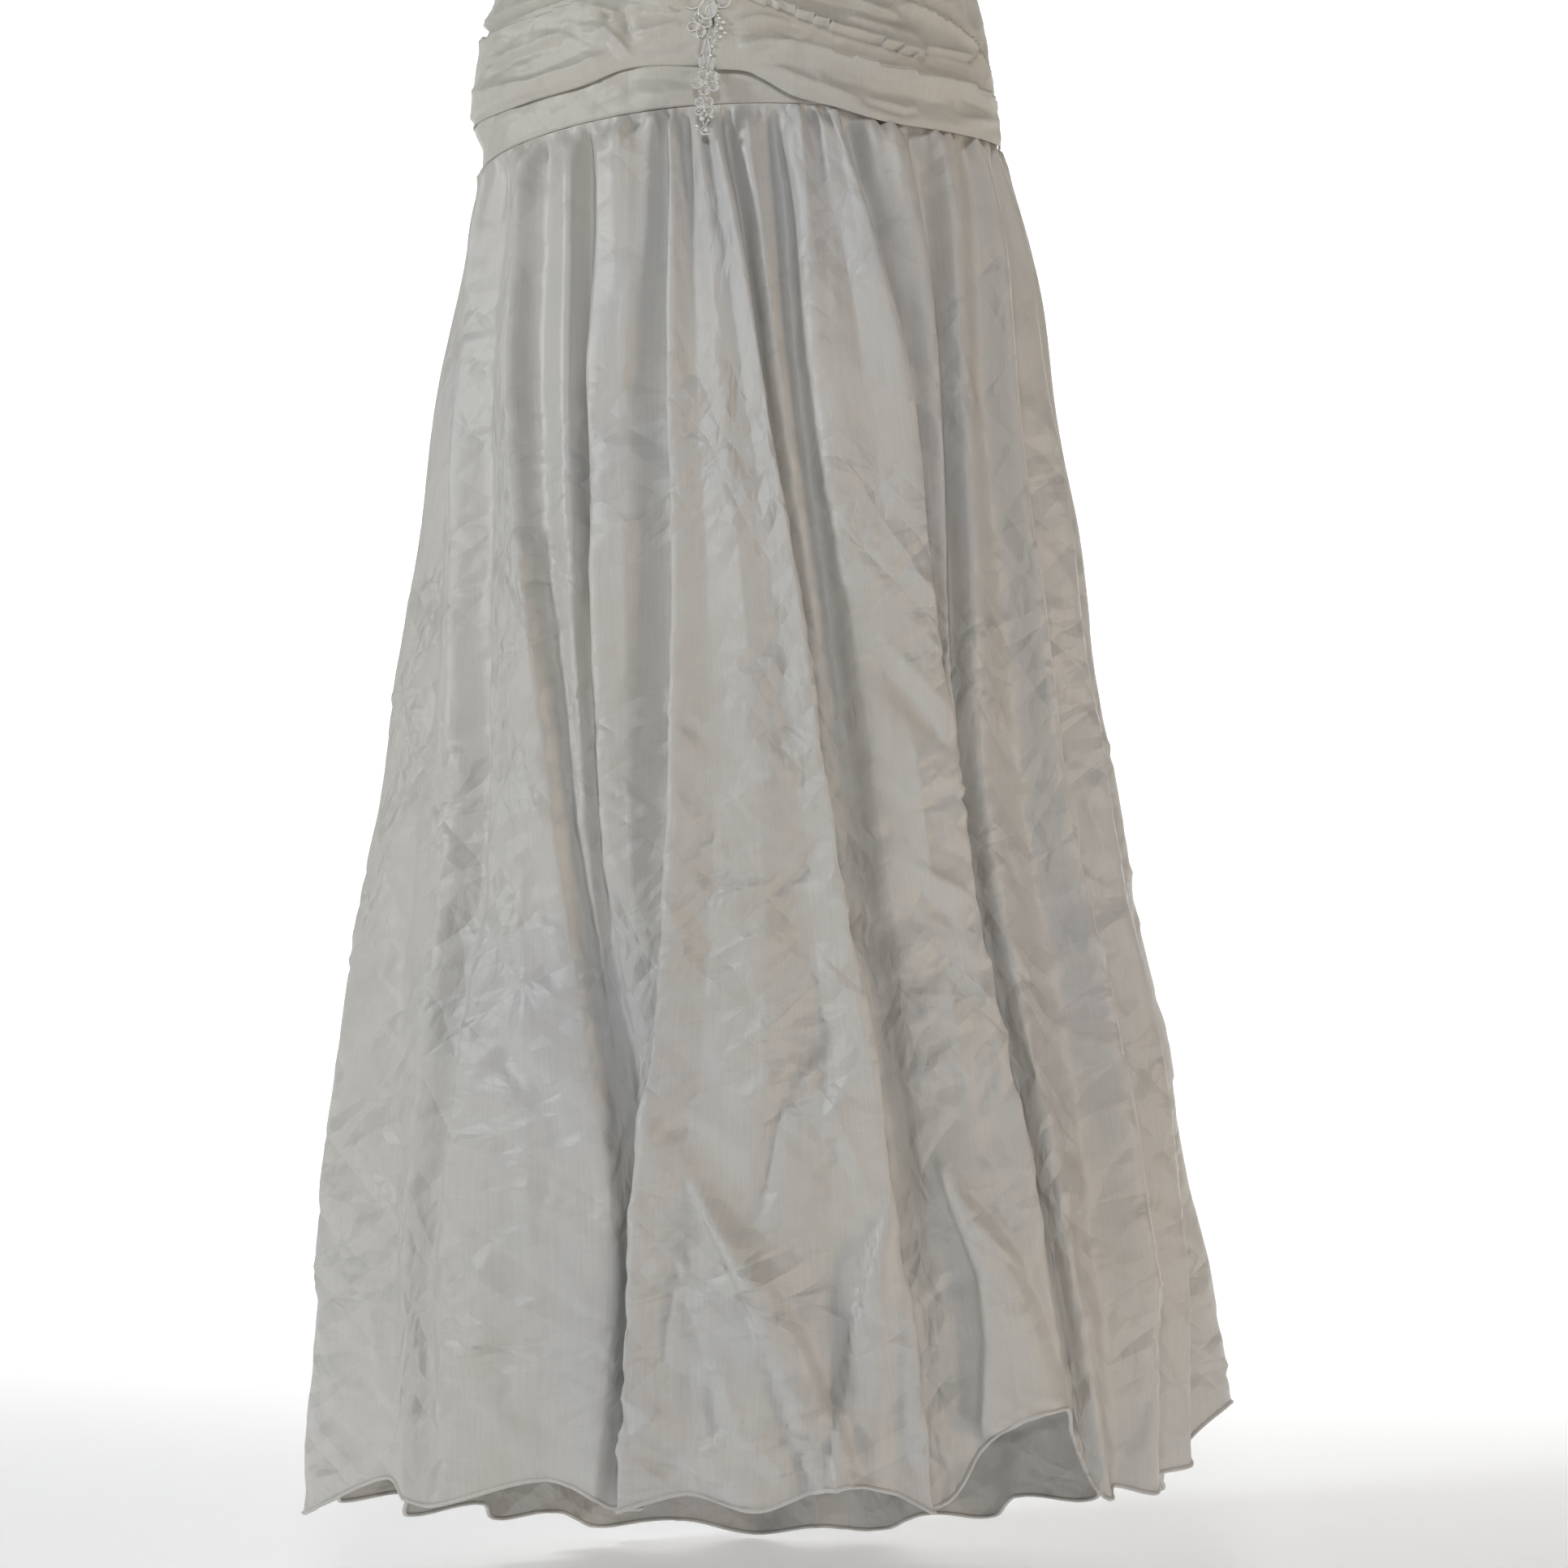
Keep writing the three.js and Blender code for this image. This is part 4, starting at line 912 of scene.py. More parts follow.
def satin_finish(name, looks, creases=1.0, light=(1.0, 1.0, 1.0)):
    """Satin taffeta: fine upright threads, slubs, crushed facets and a soft sheen."""
    cloth = Finish(name)
    # The colours times the tint `light`: a tint below 1 paints shade and warm light into this copy of the
    # satin.
    pale, shaded, cool = (opaque(part * share for part, share in zip(colour, light))
                          for colour in (looks.satin, looks.satin_shade, looks.satin_cool))
    place = cloth.cloth_place()
    streaks = cloth.clouds(cloth.scaled(place, (900.0, 26.0, 1.0)), 1.0, 2.0, "2D")
    cloudy = cloth.clouds(cloth.body_place(), 5.0, 2.0)
    warmth = cloth.ramp(cloth.clouds(cloth.body_place(), 3.1, 1.0), [(0.4, grey(0)), (0.6, grey(1))])
    warp = cloth.node("ShaderNodeTexWave", {"wave_type": "BANDS", "bands_direction": "X"}, {
        "Vector": place, "Scale": 700.0, "Distortion": 0.4})
    weft = cloth.node("ShaderNodeTexWave", {"wave_type": "BANDS", "bands_direction": "Y"}, {
        "Vector": place, "Scale": 520.0, "Distortion": 0.4})
    wander = cloth.node("ShaderNodeTexNoise", {}, {
        "Vector": place, "Scale": 11.0, "Detail": 3.0}, output=1)
    bent = cloth.tint(0.03, place, wander)
    rising = cloth.facets(bent, 38, (0.085, 0.030, 1.0))
    falling = cloth.facets(bent, -47, (0.110, 0.034, 1.0))
    level = cloth.facets(bent, 8, (0.046, 0.019, 1.0))
    fine = cloth.facets(bent, 70, (0.021, 0.012, 1.0))
    crushed = cloth.ramp(cloth.clouds(place, 9.0, 2.0, "2D"), [(0.36, grey(0.25)), (0.60, grey(1))])
    height = cloth.node("ShaderNodeSeparateXYZ", {}, [place], output=1)
    crushed = crushed * cloth.node("ShaderNodeMapRange", {}, {
        "Value": height, "From Min": FACETS_CALM_AT, "From Max": FACETS_FULL_AT,
        "To Min": 0.4, "To Max": 1.0})
    shade = 0.62 * cloudy + 0.38 * streaks
    cloth.set(
        Base_Color=cloth.tint(cloth.ramp(shade, [(0.34, grey(0)), (0.66, grey(1))]),
                              cloth.tint(warmth, cool, shaded), pale),
        Roughness=0.33 + 0.14 * streaks,
    )
    facets = cloth.bump(crushed * (rising + falling + 0.3 * level + 0.2 * fine), CREASE_BUMP * creases)
    threads = cloth.bump(0.5 * warp + 0.35 * weft + 0.8 * streaks, THREAD_BUMP, 0.5, under=facets)
    cloth.set(Normal=threads)
    cloth.set(Sheen_Weight=0.1, Sheen_Roughness=0.4, Specular_IOR_Level=0.65)
    return cloth.material


def lace_finish(name, looks):
    """Twisted cotton cord."""
    lace = Finish(name)
    place = lace.body_place()
    threads = lace.clouds(lace.scaled(place, (1800.0, 1800.0, 900.0)), 1.0, 2.0)
    lace.set(
        Base_Color=lace.tint(threads, opaque(looks.lace, 0.8), opaque(looks.lace)),
        Roughness=0.5 + 0.2 * threads,
        Normal=lace.bump(threads, 0.0003, 0.6),
    )
    lace.set(Sheen_Weight=0.1)
    return lace.material


def organza_finish(name, looks):
    """Sheer organza and net inside the corded petals."""
    organza = Finish(name)
    place = organza.body_place()
    threads = organza.clouds(organza.scaled(place, (1500.0, 1500.0, 1500.0)), 1.0, 2.0)
    organza.set(
        Base_Color=organza.tint(threads, opaque(looks.lace, 0.9), opaque(looks.lace)),
        Roughness=0.35 + 0.2 * threads,
        Alpha=0.66 + 0.25 * threads,
    )
    organza.set(Sheen_Weight=0.1)
    return organza.material


def clear_finish(name, looks):
    """Cut clear glass."""
    glass = Finish(name)
    cloudy = glass.clouds(glass.body_place(), 400.0, 1.0)
    glass.set(
        Base_Color=glass.tint(cloudy, opaque(looks.bead), grey(0.95)),
        Roughness=0.03 + 0.05 * cloudy,
    )
    glass.set(Coat_Weight=1.0, Coat_Roughness=0.02, Specular_IOR_Level=1.0, Metallic=0.35)
    return glass.material


def bead_finish(name, looks):
    """Glass pearls with a bright glint."""
    bead = Finish(name)
    cloudy = bead.clouds(bead.body_place(), 300.0, 1.0)
    bead.set(
        Base_Color=bead.tint(cloudy, opaque(looks.bead, 0.8), opaque(looks.bead)),
        Roughness=0.12 + 0.12 * cloudy,
    )
    bead.set(Coat_Weight=0.6, Coat_Roughness=0.05, Specular_IOR_Level=0.7)
    return bead.material


def tape_finish(name, looks):
    """Woven zip tape."""
    tape = Finish(name)
    place = tape.body_place()
    ribs = tape.node("ShaderNodeTexWave", {"wave_type": "BANDS", "bands_direction": "Z"}, {
        "Vector": place, "Scale": 420.0, "Distortion": 0.5})
    tape.set(
        Base_Color=tape.tint(ribs, opaque(looks.lace, 0.85), opaque(looks.lace)),
        Roughness=0.7 + 0.1 * ribs,
        Normal=tape.bump(ribs, 0.0002, 0.6),
    )
    return tape.material


def studio_finish(name, looks):
    """White studio paper that glows a little, so that it stays pale."""
    paper = Finish(name)
    grain = paper.clouds(paper.body_place(), 3.0, 2.0)
    paper.set(
        Base_Color=paper.tint(grain, opaque(looks.paper, 0.985), opaque(looks.paper)),
        Roughness=0.85 + 0.05 * grain,
    )
    paper.set(Specular_IOR_Level=0.1, Emission_Color=grey(1), Emission_Strength=0.34)
    return paper.material


def shared(name, make, *more):
    """A finish made once and used by several pieces."""
    return bpy.data.materials.get(name) or make(name, looks(), *more)


def dress_in(piece, material, slot, *nodes):
    """Gives a piece its material and body, and hides the solids that it stands for. The slot is not used.
    """
    piece.data.materials.append(material)
    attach(piece, "root")
    if nodes:
        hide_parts(*nodes)
    return piece


# ---------------------------------------------------------------------------------------------
# Settings
# ---------------------------------------------------------------------------------------------

def length_setting(name, default, description):
    return bpy.props.FloatProperty(name=name, description=description, default=default, unit="LENGTH")


def count_setting(name, default, description):
    return bpy.props.IntProperty(name=name, description=description, default=default)


def colour_setting(name, default, description):
    return bpy.props.FloatVectorProperty(
        name=name, description=description, subtype="COLOR", size=3, default=default)


class DressSizes(bpy.types.PropertyGroup):
    """Sizes of the cloth and its relief."""

    wall: length_setting("Cloth thickness", 0.0012, "Thickness of the bodice and the drapes")
    hem_radius: length_setting("Hem roll", 0.0015, "Radius of the narrow rolled hem")
    crumple: length_setting("Crumple", 0.0034, "Height of the crushed facets in the skirt")
    crease_share: bpy.props.FloatProperty(
        name="Creases", description="Share of their depth that the creases are pressed to",
        default=1.0, subtype="FACTOR")
    front_fineness: count_setting("Front fineness", 5, "Steps of cloth for each facet of the front panel")
    back_fineness: count_setting("Back fineness", 8, "Steps of cloth for each facet of a back panel")
    skirt_rows: count_setting("Skirt rows", 255, "Rows of cloth down the skirt")


class DressLooks(bpy.types.PropertyGroup):
    """Colours of the dress and its stage."""

    satin: colour_setting("Satin", (0.665, 0.645, 0.595), "Colour of the satin")
    satin_shade: colour_setting("Satin shade", (0.605, 0.588, 0.545), "Colour of its darker patches")
    satin_cool: colour_setting("Satin, cool", (0.575, 0.58, 0.582), "Colour of its cooler patches")
    lace: colour_setting("Lace", (0.86, 0.85, 0.81), "Colour of the lace cord")
    bead: colour_setting("Beads", (0.80, 0.79, 0.75), "Colour of the beads")
    paper: colour_setting("Floor", (0.86, 0.86, 0.86), "Colour of the studio floor")


def sizes():
    return bpy.context.scene.dress_sizes


def looks():
    return bpy.context.scene.dress_looks


# ---------------------------------------------------------------------------------------------
# Pieces
# ---------------------------------------------------------------------------------------------

def skirt_grid(first_fold, last_fold, fineness, rows):
    """The folded panel between two seams: a grid of points, and each fold's column with +1 for a
    crest and -1 for a valley. The cloth starts level under the bodice's edge at the waist seam."""
    share = np.linspace(0, 1, rows) ** 1.06
    lines = []
    for fold in SKIRT_FOLDS:
        angle = smooth(FOLD_LEVELS, fold.angle, share)
        top = seam_height(fold.angle[0]) - SEAM_GAP / 2
        down = (top - fold.hem) * share
        tucked = soft_step(down / 16)
        out = smooth(FOLD_LEVELS, fold.out, share) * tucked - 1.0 * (1 - tucked)
        lines.append(body_point(angle, top - down, out))
    steps = [fold.steps * fineness for fold in SKIRT_FOLDS]
    ring = curve_through(np.array(lines), steps, closed=True)
    starts = np.concatenate([[0], np.cumsum(steps)])
    columns = np.arange(starts[first_fold], starts[last_fold] + 1) % len(ring)
    outs = np.array([fold.out for fold in SKIRT_FOLDS])
    around = (np.roll(outs, 1, 0) + np.roll(outs, -1, 0)) / 2
    creased = [(starts[i] - starts[first_fold], smooth(FOLD_LEVELS, np.sign(outs[i] - around[i]), share))
               for i in range(first_fold + 1, last_fold)]
    return ring[columns].transpose(1, 0, 2), creased


def pressed_folds(grid, creased, z, seed):
    """Sharpens the crests and valleys of a panel along their lines, unevenly."""
    draw = np.random.default_rng(seed)
    place = along_rows(grid)
    relief = np.zeros_like(z)
    for column, sign in creased:
        phase, wave = draw.uniform(0, FULL_TURN), draw.uniform(140, 320)
        line_z = z[:, column]
        uneven = 0.55 + 0.45 * np.sin(line_z * FULL_TURN / wave + phase)
        distance = np.abs(place - place[:, column:column + 1])
        relief += (sign * uneven * draw.uniform(1.8, 3.4))[:, None] * np.exp(-distance / 9.0)
    return relief


def skirt_panel(node, first_fold, last_fold, fineness, creases, bands, seed):
    """A panel with its relief, and its rolled hem. The cloth is calm near the waist seam and more
    creased and crushed towards the hem; it lies flat at the side seams."""
    size = sizes()
    grid, creased = skirt_grid(first_fold, last_fold, fineness, size.skirt_rows)
    angle = np.unwrap(angle_of(grid), period=360, axis=1)
    if angle.mean() < -95:
        angle += 360
    z = grid[..., 2]
    x = np.radians(angle) * section_size("half", z)
    below = np.maximum(seam_height(angle) - z, 0)
    columns = np.arange(grid.shape[1])
    inside = soft_step(np.minimum(columns, columns[::-1]) / 10)
    relief = size.crease_share * grown(CREASE_GROWTH, below) * crease_relief(angle, z, creases)
    relief += band_relief(angle, z, bands)
    cover = (0.35 + 0.65 * patches(x, z, seed)) * (0.4 + 0.6 * np.abs(np.cos(np.radians(angle))))
    relief += size.crumple / MM * grown(CRUMPLE_GROWTH, below) * cover * crush_relief(x, z, seed)
    clear = soft_step((below - 3) / 24)
    relief *= clear
    relief += pressed_folds(grid, creased, z, seed) * soft_step(below / 40)
    gathers = [crease for crease in creases if crease.kind == "gather"]
    relief += crease_relief(angle, z, gathers) * (1 - clear) * soft_step(below / 5)
    relief *= SEWN_SHARE + (1 - SEWN_SHARE) * inside
    grid = grid + grid_normals(grid) * relief[..., None]
    across = along_rows(grid).mean(0)[None, :].repeat(len(z), 0)
    uvs = np.stack([across, z], -1) * MM
    name = node + "_cloth"
    panel = mesh_object(name, grid, grid_faces(*grid.shape[:2]), uvs)
    return panel, hem_roll(name.replace("skirt", "hem"), grid, uvs)


def hem_roll(name, grid, uvs):
    """The narrow rolled hem along the bottom row of a panel."""
    radius = sizes().hem_radius / MM
    path = grid[-1]
    rings = tube_points(path, radius, 8)
    points = np.concatenate([rings, rings[:, :1]], 1)
    place = uvs[-1][:, None] + np.stack([np.zeros(9), np.linspace(0, 2 * math.pi * radius * MM, 9)], -1)
    return mesh_object(name, points, grid_faces(*points.shape[:2]), place)


def bodice_panel(name, from_angle, to_angle, columns, rows, relief):
    """A fitted panel of the bodice between two seams, from the neckline to the waist seam."""
    share = np.linspace(0, 1, rows)[:, None]
    angle = np.linspace(from_angle, to_angle, columns)[None, :].repeat(rows, 0)
    low = seam_height(angle) + SEAM_GAP / 2
    z = neck_height(angle) + (low - neck_height(angle)) * share
    points = body_point(angle, z, cup_out(angle, z) + relief(angle, z))
    uvs = np.stack([np.radians(angle) * section_size("half", z), z], -1) * MM
    return shell_mesh(name, points, sizes().wall / MM, uvs)


def full_side(angle, z):
    """The soft bulge of the bodice over the wearer's right hip."""
    return 9 * bell((angle + 84) / 24) * bell((z + 143) / 12)


def front_bodice_relief(angle, z):
    """Two curved cup seams and a little pull between the cups."""
    seam_line = CUP_ANGLE - 3 + 7 * bell((z - 150) / 60)
    across = (np.abs(angle) - seam_line) * 2.6
    seams = -0.9 * bell(across / 1.6) + 0.35 * bell((np.abs(across) - 3) / 2)
    pull = 0.8 * np.sin(z / 7.5 + 2 * np.sin(angle / 9)) * bell(angle / 12) * bell((z - 110) / 45)
    x = np.radians(angle) * HIP_HALF
    band = soft_step((-112 - z) / 10)
    tab = 2.2 * bell((angle + 9.5) / 7) * bell((z + 136) / 14)
    folds = crease_relief(angle, z, BAND_FOLDS) + 0.5 * facet_relief(x, z, 14, 5)
    above_seam = soft_step((z - seam_height(angle)) / 5)
    return seams + pull + band * (folds + tab) * above_seam + full_side(angle, z)


def back_bodice_relief(angle, z):
    """A dart in each back and small pulls at the waist."""
    dart = np.minimum(np.abs(angle - 138), np.abs(angle - 222)) * 2.4
    waist = bell((z + 15) / 38)
    pulls = 0.9 * np.sin(z / 8 + 1.5 * np.sin(angle / 7)) * waist * (0.5 + 0.5 * np.sin(angle / 5))
    return -0.9 * bell(dart / 1.5) + 0.3 * bell((dart - 3) / 2) + 0.6 * pulls


def drape_grid(drape, columns, rows):
    """A drape's surface, rows down and columns round by rising angle, its lower edge turned in."""
    places = [abs(row[0]) for row in drape.lower]
    side = math.copysign(1, drape.lower[0][0])
    around = np.linspace(0, 1, columns)[None, :]
    share = np.linspace(0, 1, rows)[:, None]
    reach = places[0] + (places[-1] - places[0]) * around
    low = smooth(places, [row[1] for row in drape.lower], reach)
    high = DRAPE_TOP_AT_FRONT + (DRAPE_TOP_AT_SIDE - DRAPE_TOP_AT_FRONT) * around
    z = high + (low - high) * share
    over_edge = soft_step(1 - (z - low) / TURN_HEIGHT)
    full = soft_step(share / 0.05) * (1 - (1 - drape.turn) * over_edge**2)
    bagged = soft_step((share - 0.55) / 0.35)
    loose = (drape.slack * full + drape.bag * bagged * full) * around**2
    angle = side * reach * np.ones_like(z)
    sewn = SEWN_SHARE + (1 - SEWN_SHARE) * soft_step((places[-1] - reach) / 7)
    out = np.maximum(DRAPE_OFF + (DRAPE_LIFT * full + loose) * sewn, full_side(angle, z) + 1.8)
    grid = body_point(angle, z, cup_out(angle, z) + out)
    return grid[:, ::-1] if side < 0 else grid


def drape_piece(name, drape, seed):
    """A drape with its pleats, calm where it is sewn down."""
    grid = drape_grid(drape, 150, 130)
    angle = angle_of(grid)
    z = grid[..., 2]
    x = np.radians(angle) * section_size("half", z)
    relief = DRAPE_CREASES * crease_relief(angle, z, drape.folds)
    relief += DRAPE_FACETS * facet_relief(x * 0.5, z, 19, seed, 0.25)
    relief += DRAPE_CRUMPLE * facet_relief(x * 0.6, z, 9, seed, -0.3)
    ends = soft_step(np.minimum(np.abs(angle) - 1, (90 - np.abs(angle)) / 3.5) / 5)
    rows = np.arange(len(grid))[:, None]
    edges = soft_step(np.minimum(rows, rows[::-1]) / 7)
    relief = np.maximum(relief, -4.0) * ends * edges
    grid = grid + grid_normals(grid) * relief[..., None]
    uvs = np.stack([x, z], -1) * MM
    return shell_mesh(name, grid, sizes().wall / MM, uvs)


def lay_on_front(x, z, lift):
    """Places on the front of the dress: x to the wearer's left and z up along it, lifted off it."""
    x, z = np.broadcast_arrays(np.asarray(x, float), np.asarray(z, float))
    over = soft_step((LACE_STEP - z) / (LACE_STEP - SEAM_AT_FRONT))
    base = LACE_OVER_BODICE + (LACE_OVER_SKIRT - LACE_OVER_BODICE) * over - LACE_THICK
    angle = np.degrees(x / section_size("half", z))
    return body_point(angle, z, cup_out(angle, z) + base + lift)


def lay_petal(parts, cords, motif, turn, wide, long):
    """One cupped petal of sheer organza with a corded edge, from the flower's middle outwards."""
    rim = np.linspace(0, 2 * math.pi, 26, endpoint=False)
    ring_shares = np.linspace(0.08, 1, 6)[:, None]
    mid = motif.radius - long
    px = ring_shares * wide * np.sin(rim) * (0.86 + 0.14 * np.cos(rim))
    py = mid + ring_shares * long * np.cos(rim)
    x = motif.x + px * math.cos(turn) + py * math.sin(turn)
    z = motif.z - px * math.sin(turn) + py * math.cos(turn)
    cup = 0.3 + 1.2 * ring_shares**2 + 0.25 * np.cos(5 * rim) * ring_shares
    parts.grid(lay_on_front(x, z, cup), wrap=True, flip=True)
    cords.tube(lay_on_front(x[-1], z[-1], cup[-1] + 0.2), 0.62, 6, closed=True)


def applique_pieces():
    """The chain of flowers: sheer petals, corded edges, pearls and clear beads."""
    petals, cords, pearls, clear = Parts(), Parts(), Parts(), Parts()
    draw = np.random.default_rng(11)

    def beside(motif, reach, turn, lift):
        return lay_on_front(motif.x + reach * math.sin(turn), motif.z + reach * math.cos(turn), lift)

    for motif in MOTIFS:
        for i in range(motif.petals):
            turn = 2 * math.pi * (i + 0.5) / motif.petals + 0.2 * motif.x
            wide = motif.radius * (0.43 if motif.petals > 1 else 0.5)
            lay_petal(petals, cords, motif, turn, wide, motif.radius * 0.42)
        if motif.petals > 1:
            pearls.bead(lay_on_front(motif.x, motif.z, 2.2), 1.9, 8, 14)
            ring = 0.24 * motif.radius + 0.8
            for i in range(6):
                pearls.bead(beside(motif, ring, 2 * math.pi * i / 6, 1.6), 0.95)
        for _ in range(5):
            turn = draw.uniform(0, 2 * math.pi)
            reach = motif.radius * draw.uniform(0.6, 1.05)
            place = beside(motif, reach, turn, 1.9)
            (clear if draw.random() < 0.5 else pearls).bead(place, draw.uniform(0.7, 1.15))
    z = np.linspace(MOTIFS[0].z, MOTIFS[-1].z, 150)
    wave = np.sin(2 * math.pi * z / STEM_WAVE)
    half = NET_HALF * (0.75 + 0.25 * wave) * soft_step((z - MOTIFS[-1].z) / 30)
    petals.grid(lay_on_front(half[:, None] * np.linspace(-1, 1, 9), z[:, None], 0.1))
    for swing in (1, -1):
        cords.tube(lay_on_front(swing * STEM_SWAY * wave, z, 0.4), 0.5, 6)
    for z, x, radius in CLEAR_BEADS:
        clear.bead(lay_on_front(x, z, 1.8), radius, 7, 10)
    for z, x, radius in TIP_PEARLS:
        pearls.bead(lay_on_front(x, z, 2.0), radius, 8, 14)
    return (petals.build("applique_petals"), cords.build("applique_cord"),
            pearls.build("applique_pearls"), clear.build("applique_clear_beads"))


# ---------------------------------------------------------------------------------------------
# Operators
# ---------------------------------------------------------------------------------------------

BUILT = {"FINISHED"}


def satin():
    """The creased satin of the skirt."""
    return shared("creased_satin", satin_finish)


def smooth_satin():
    """The satin of the bodice and the drapes: a copy of the skirt's satin with painted shade and painted
    warm light, a little darker and warmer.
    """
    return shared("smooth_satin", satin_finish, 1.3, (0.93, 0.925, 0.89))


class DRESS_OT_skirt_front(bpy.types.Operator):
    """Makes the gathered front panel and its rolled hem"""

    bl_idname = "dress.skirt_front"
    bl_label = "Skirt front"

    def execute(self, context):
        gathers = []
        for top, foot, length in FRONT_GATHERS:
            start = float(seam_height(top))
            path = ((top, start), ((top + foot) / 2, start - length / 2), (foot, start - length))
            gathers.append(Crease("gather", path, 2.2 + length / 70, 2.6 + length / 60))
        creases = FRONT_CREASES + gathers
        for strewn in FRONT_STREWN:
            creases += strewn_creases(strewn)
        panel, hem = skirt_panel("skirt_front", 0, len(FRONT_FOLDS), sizes().front_fineness,
                                 creases, FRONT_BANDS, 3)
        dress_in(panel, satin(), "satin", "skirt_front")
        dress_in(hem, satin(), "satin")
        return BUILT


class DRESS_OT_skirt_back(bpy.types.Operator):
    """Makes the two gathered back panels and their rolled hems"""

    bl_idname = "dress.skirt_back"
    bl_label = "Skirt back"

    def execute(self, context):
        left = len(FRONT_FOLDS)
        middle = left + len(BACK_LEFT_FOLDS)
        panels = (("left", left, middle, (92, 176), 17),
                  ("right", middle, len(SKIRT_FOLDS), (184, 262), 29))
        for side, first, last, angles, seed in panels:
            creases = strewn_creases(Strewn(*angles, -300, -1100, 120, seed, (0.6, 1.8), (16, 90)))
            creases += scattered_gathers(*angles, seed)
            panel, hem = skirt_panel(f"skirt_back_{side}", first, last, sizes().back_fineness,
                                     creases, (), seed)
            dress_in(panel, satin(), "satin", f"skirt_back_{side}")
            dress_in(hem, satin(), "satin")
        return BUILT


class DRESS_OT_bodice(bpy.types.Operator):
    """Makes the fitted front and back of the bodice"""

    bl_idname = "dress.bodice"
    bl_label = "Bodice"

    def execute(self, context):
        front = bodice_panel("bodice_front_cloth", -90, 90, 180, 130, front_bodice_relief)
        dress_in(front, smooth_satin(), "satin", "bodice_front")
        for side, first, last in (("left", 90, 180), ("right", 180, 270)):
            back = bodice_panel(f"bodice_back_{side}_cloth", first, last, 90, 120, back_bodice_relief)
            dress_in(back, smooth_satin(), "satin", f"bodice_back_{side}")
        return BUILT


class DRESS_OT_drapes(bpy.types.Operator):
    """Makes the two pleated drapes over the front of the bodice"""

    bl_idname = "dress.drapes"
    bl_label = "Drapes"

    def execute(self, context):
        for side, drape, seed in (("right", DRAPE_RIGHT, 41), ("left", DRAPE_LEFT, 43)):
            piece = drape_piece(f"drape_{side}_cloth", drape, seed)
            dress_in(piece, smooth_satin(), "satin", f"drape_{side}")
        return BUILT


class DRESS_OT_applique(bpy.types.Operator):
    """Makes the lace flowers, their corded edges and the beads"""

    bl_idname = "dress.applique"
    bl_label = "Applique"

    def execute(self, context):
        petals, cords, pearls, clear = applique_pieces()
        dress_in(petals, shared("sheer_organza", organza_finish), "lace", "applique")
        dress_in(cords, shared("corded_lace", lace_finish), "lace")
        dress_in(pearls, shared("glass_pearl", bead_finish), "lace")
        dress_in(clear, shared("clear_glass", clear_finish), "lace")
        return BUILT


class DRESS_OT_zip(bpy.types.Operator):
    """Gives the zip tape its weave"""

    bl_idname = "dress.zip"
    bl_label = "Zip"

    def execute(self, context):
        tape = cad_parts["back_zip"]
        tape.data.materials.clear()
        tape.data.materials.append(shared("woven_tape", tape_finish))
        return BUILT


# The stage, in metres: the paper's half width, its front edge, where it bends up, the bend's radius,
# the height of its top and the gap under the hem.
PAPER_HALF = 5
PAPER_FRONT = -4.0
PAPER_BEND = 1.6
BEND_RADIUS = 1.2
PAPER_TOP = 4.0
FLOOR_GAP = 0.004

WORLD_COLOUR = (0.94, 0.96, 1.0, 1.0)
WORLD_STRENGTH = 0.05
Lamp = namedtuple("Lamp", "name place target width power colour beam")
LAMPS = [
    Lamp("key", (-2.7, -1.45, 0.6), (0.0, 0.0, -0.6), 0.4, 34, (0.965, 0.985, 1.0), 180),
    Lamp("front", (0.3, -2.3, 1.0), (0.0, 0.0, -0.1), 0.5, 14.5, (0.99, 0.995, 1.0), 180),
    Lamp("warm_fill", (2.7, -1.2, -0.5), (0.0, 0.0, -0.7), 0.7, 15, (1.0, 0.80, 0.62), 180),
    Lamp("backdrop_left", (-2.4, 1.1, 1.4), (-0.6, 2.7, -0.5), 1.4, 22, (1.0, 1.0, 1.0), 80),
    Lamp("backdrop_right", (2.4, 1.1, 1.4), (0.6, 2.7, -0.5), 1.4, 22, (1.0, 1.0, 1.0), 80),
]

# The camera's place round the dress, its distance, its shift to the side, its height and the width
# of the dress's plane that it takes in.
CAMERA_AZIMUTH = math.radians(9.5)
CAMERA_DISTANCE = 2.4
CAMERA_SIDE = 0.025
CAMERA_HEIGHT = -0.6014
FRAME_WIDTH = 1.0916
SENSOR = 36.0


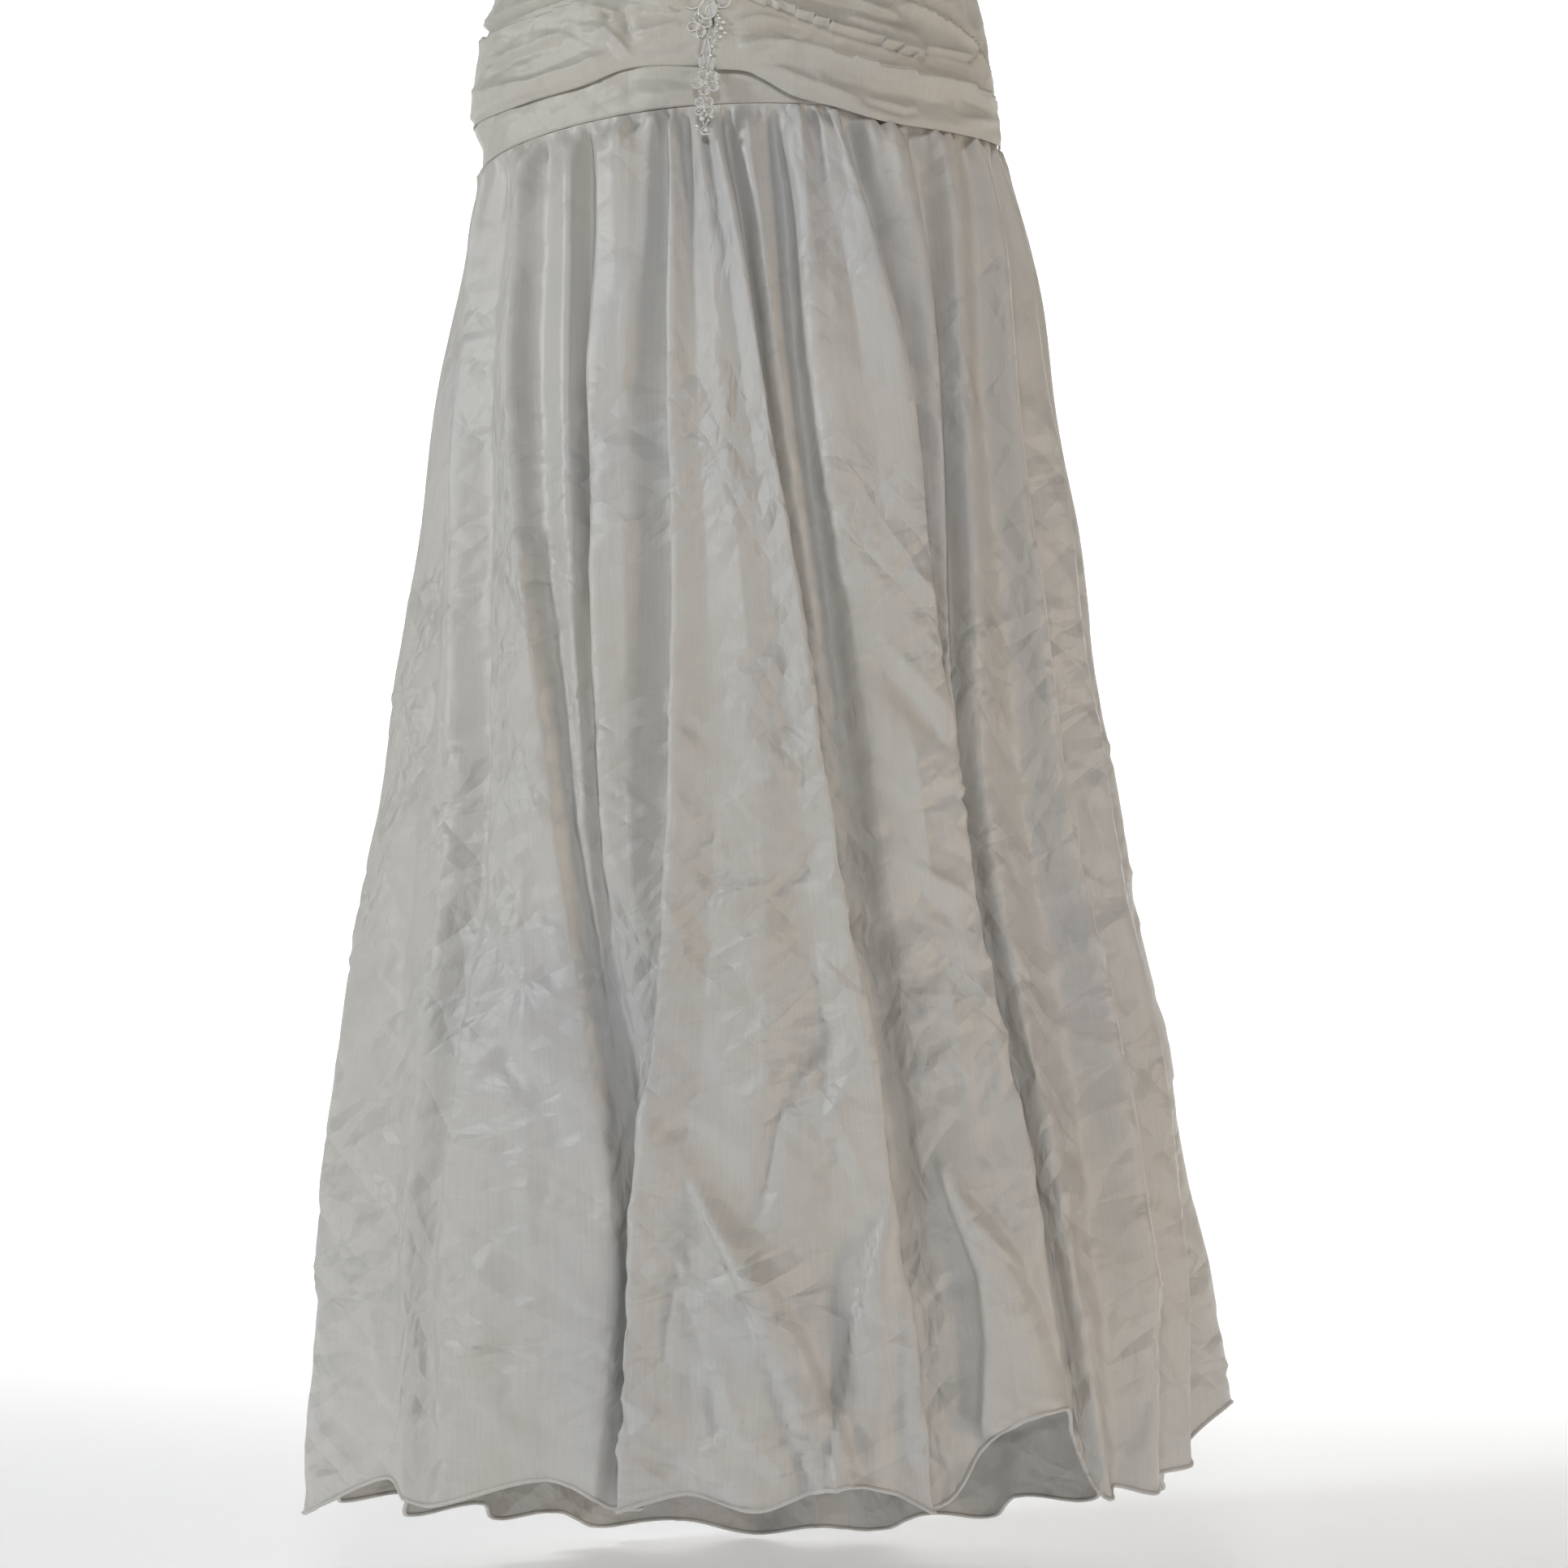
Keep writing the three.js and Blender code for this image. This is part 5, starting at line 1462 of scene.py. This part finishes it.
class DRESS_OT_stage(bpy.types.Operator):
    """Makes the floor, the backdrop, the lights and the camera"""

    bl_idname = "dress.stage"
    bl_label = "Stage"

    def execute(self, context):
        low = cad_box[0][2] - FLOOR_GAP
        side = np.linspace(-PAPER_HALF, PAPER_HALF, 12)
        profile = [(PAPER_FRONT, low), (PAPER_BEND, low)]
        for t in np.linspace(0, math.pi / 2, 14)[1:]:
            rise = BEND_RADIUS * (1 - math.cos(t))
            profile.append((PAPER_BEND + BEND_RADIUS * math.sin(t), low + rise))
        profile.append((PAPER_BEND + BEND_RADIUS, low + PAPER_TOP))
        points = np.array([[(x, y, z) for x in side] for y, z in profile]) / MM
        floor = mesh_object("studio_floor", points, grid_faces(*points.shape[:2], flip=True))
        floor.data.materials.append(studio_finish("studio_paper", looks()))
        self.lights(context.scene)
        self.camera(context.scene)
        return BUILT

    def lights(self, scene):
        world = bpy.data.worlds.new("studio")
        world.use_nodes = True
        background = world.node_tree.nodes["Background"]
        background.inputs["Color"].default_value = WORLD_COLOUR
        background.inputs["Strength"].default_value = WORLD_STRENGTH
        scene.world = world
        for row in LAMPS:
            light = bpy.data.lights.new(row.name, "AREA")
            light.size = row.width
            light.energy = row.power
            light.color = row.colour
            light.spread = math.radians(row.beam)
            lamp = bpy.data.objects.new(row.name, light)
            lamp.location = row.place
            ahead = Vector(row.target) - Vector(row.place)
            lamp.rotation_euler = ahead.to_track_quat("-Z", "Y").to_euler()
            scene.collection.objects.link(lamp)

    def camera(self, scene):
        lens = bpy.data.cameras.new("camera")
        lens.sensor_width = SENSOR
        lens.lens = SENSOR * CAMERA_DISTANCE / FRAME_WIDTH
        camera = bpy.data.objects.new("camera", lens)
        sin, cos = math.sin(CAMERA_AZIMUTH), math.cos(CAMERA_AZIMUTH)
        camera.location = (CAMERA_DISTANCE * sin + CAMERA_SIDE * cos,
                           -CAMERA_DISTANCE * cos + CAMERA_SIDE * sin, CAMERA_HEIGHT)
        camera.rotation_euler = (math.pi / 2, 0, CAMERA_AZIMUTH)
        scene.collection.objects.link(camera)
        scene.camera = camera


class DRESS_PT_panel(bpy.types.Panel):
    """Lists the sizes, the colours and the pieces of the dress"""

    bl_idname = "DRESS_PT_panel"
    bl_label = "Wedding dress"
    bl_space_type = "VIEW_3D"
    bl_region_type = "UI"
    bl_category = "Dress"

    def draw(self, context):
        for group in (context.scene.dress_sizes, context.scene.dress_looks):
            for name in group.bl_rna.properties.keys():
                if name not in ("rna_type", "name"):
                    self.layout.prop(group, name)
        for operator in OPERATORS:
            self.layout.operator(operator.bl_idname)


OPERATORS = (
    DRESS_OT_bodice,
    DRESS_OT_drapes,
    DRESS_OT_skirt_front,
    DRESS_OT_skirt_back,
    DRESS_OT_applique,
    DRESS_OT_zip,
    DRESS_OT_stage,
)
CLASSES = (DressSizes, DressLooks, *OPERATORS, DRESS_PT_panel)


def register():
    for item in CLASSES:
        bpy.utils.register_class(item)
    bpy.types.Scene.dress_sizes = bpy.props.PointerProperty(type=DressSizes)
    bpy.types.Scene.dress_looks = bpy.props.PointerProperty(type=DressLooks)


def unregister():
    del bpy.types.Scene.dress_looks
    del bpy.types.Scene.dress_sizes
    for item in reversed(CLASSES):
        bpy.utils.unregister_class(item)


def main():
    """Makes the whole dress and its stage."""
    register()
    bpy.context.scene.view_settings.view_transform = "Standard"
    for operator in OPERATORS:
        getattr(bpy.ops.dress, operator.bl_idname.split(".")[1])()


if __name__ == "__main__":
    main()
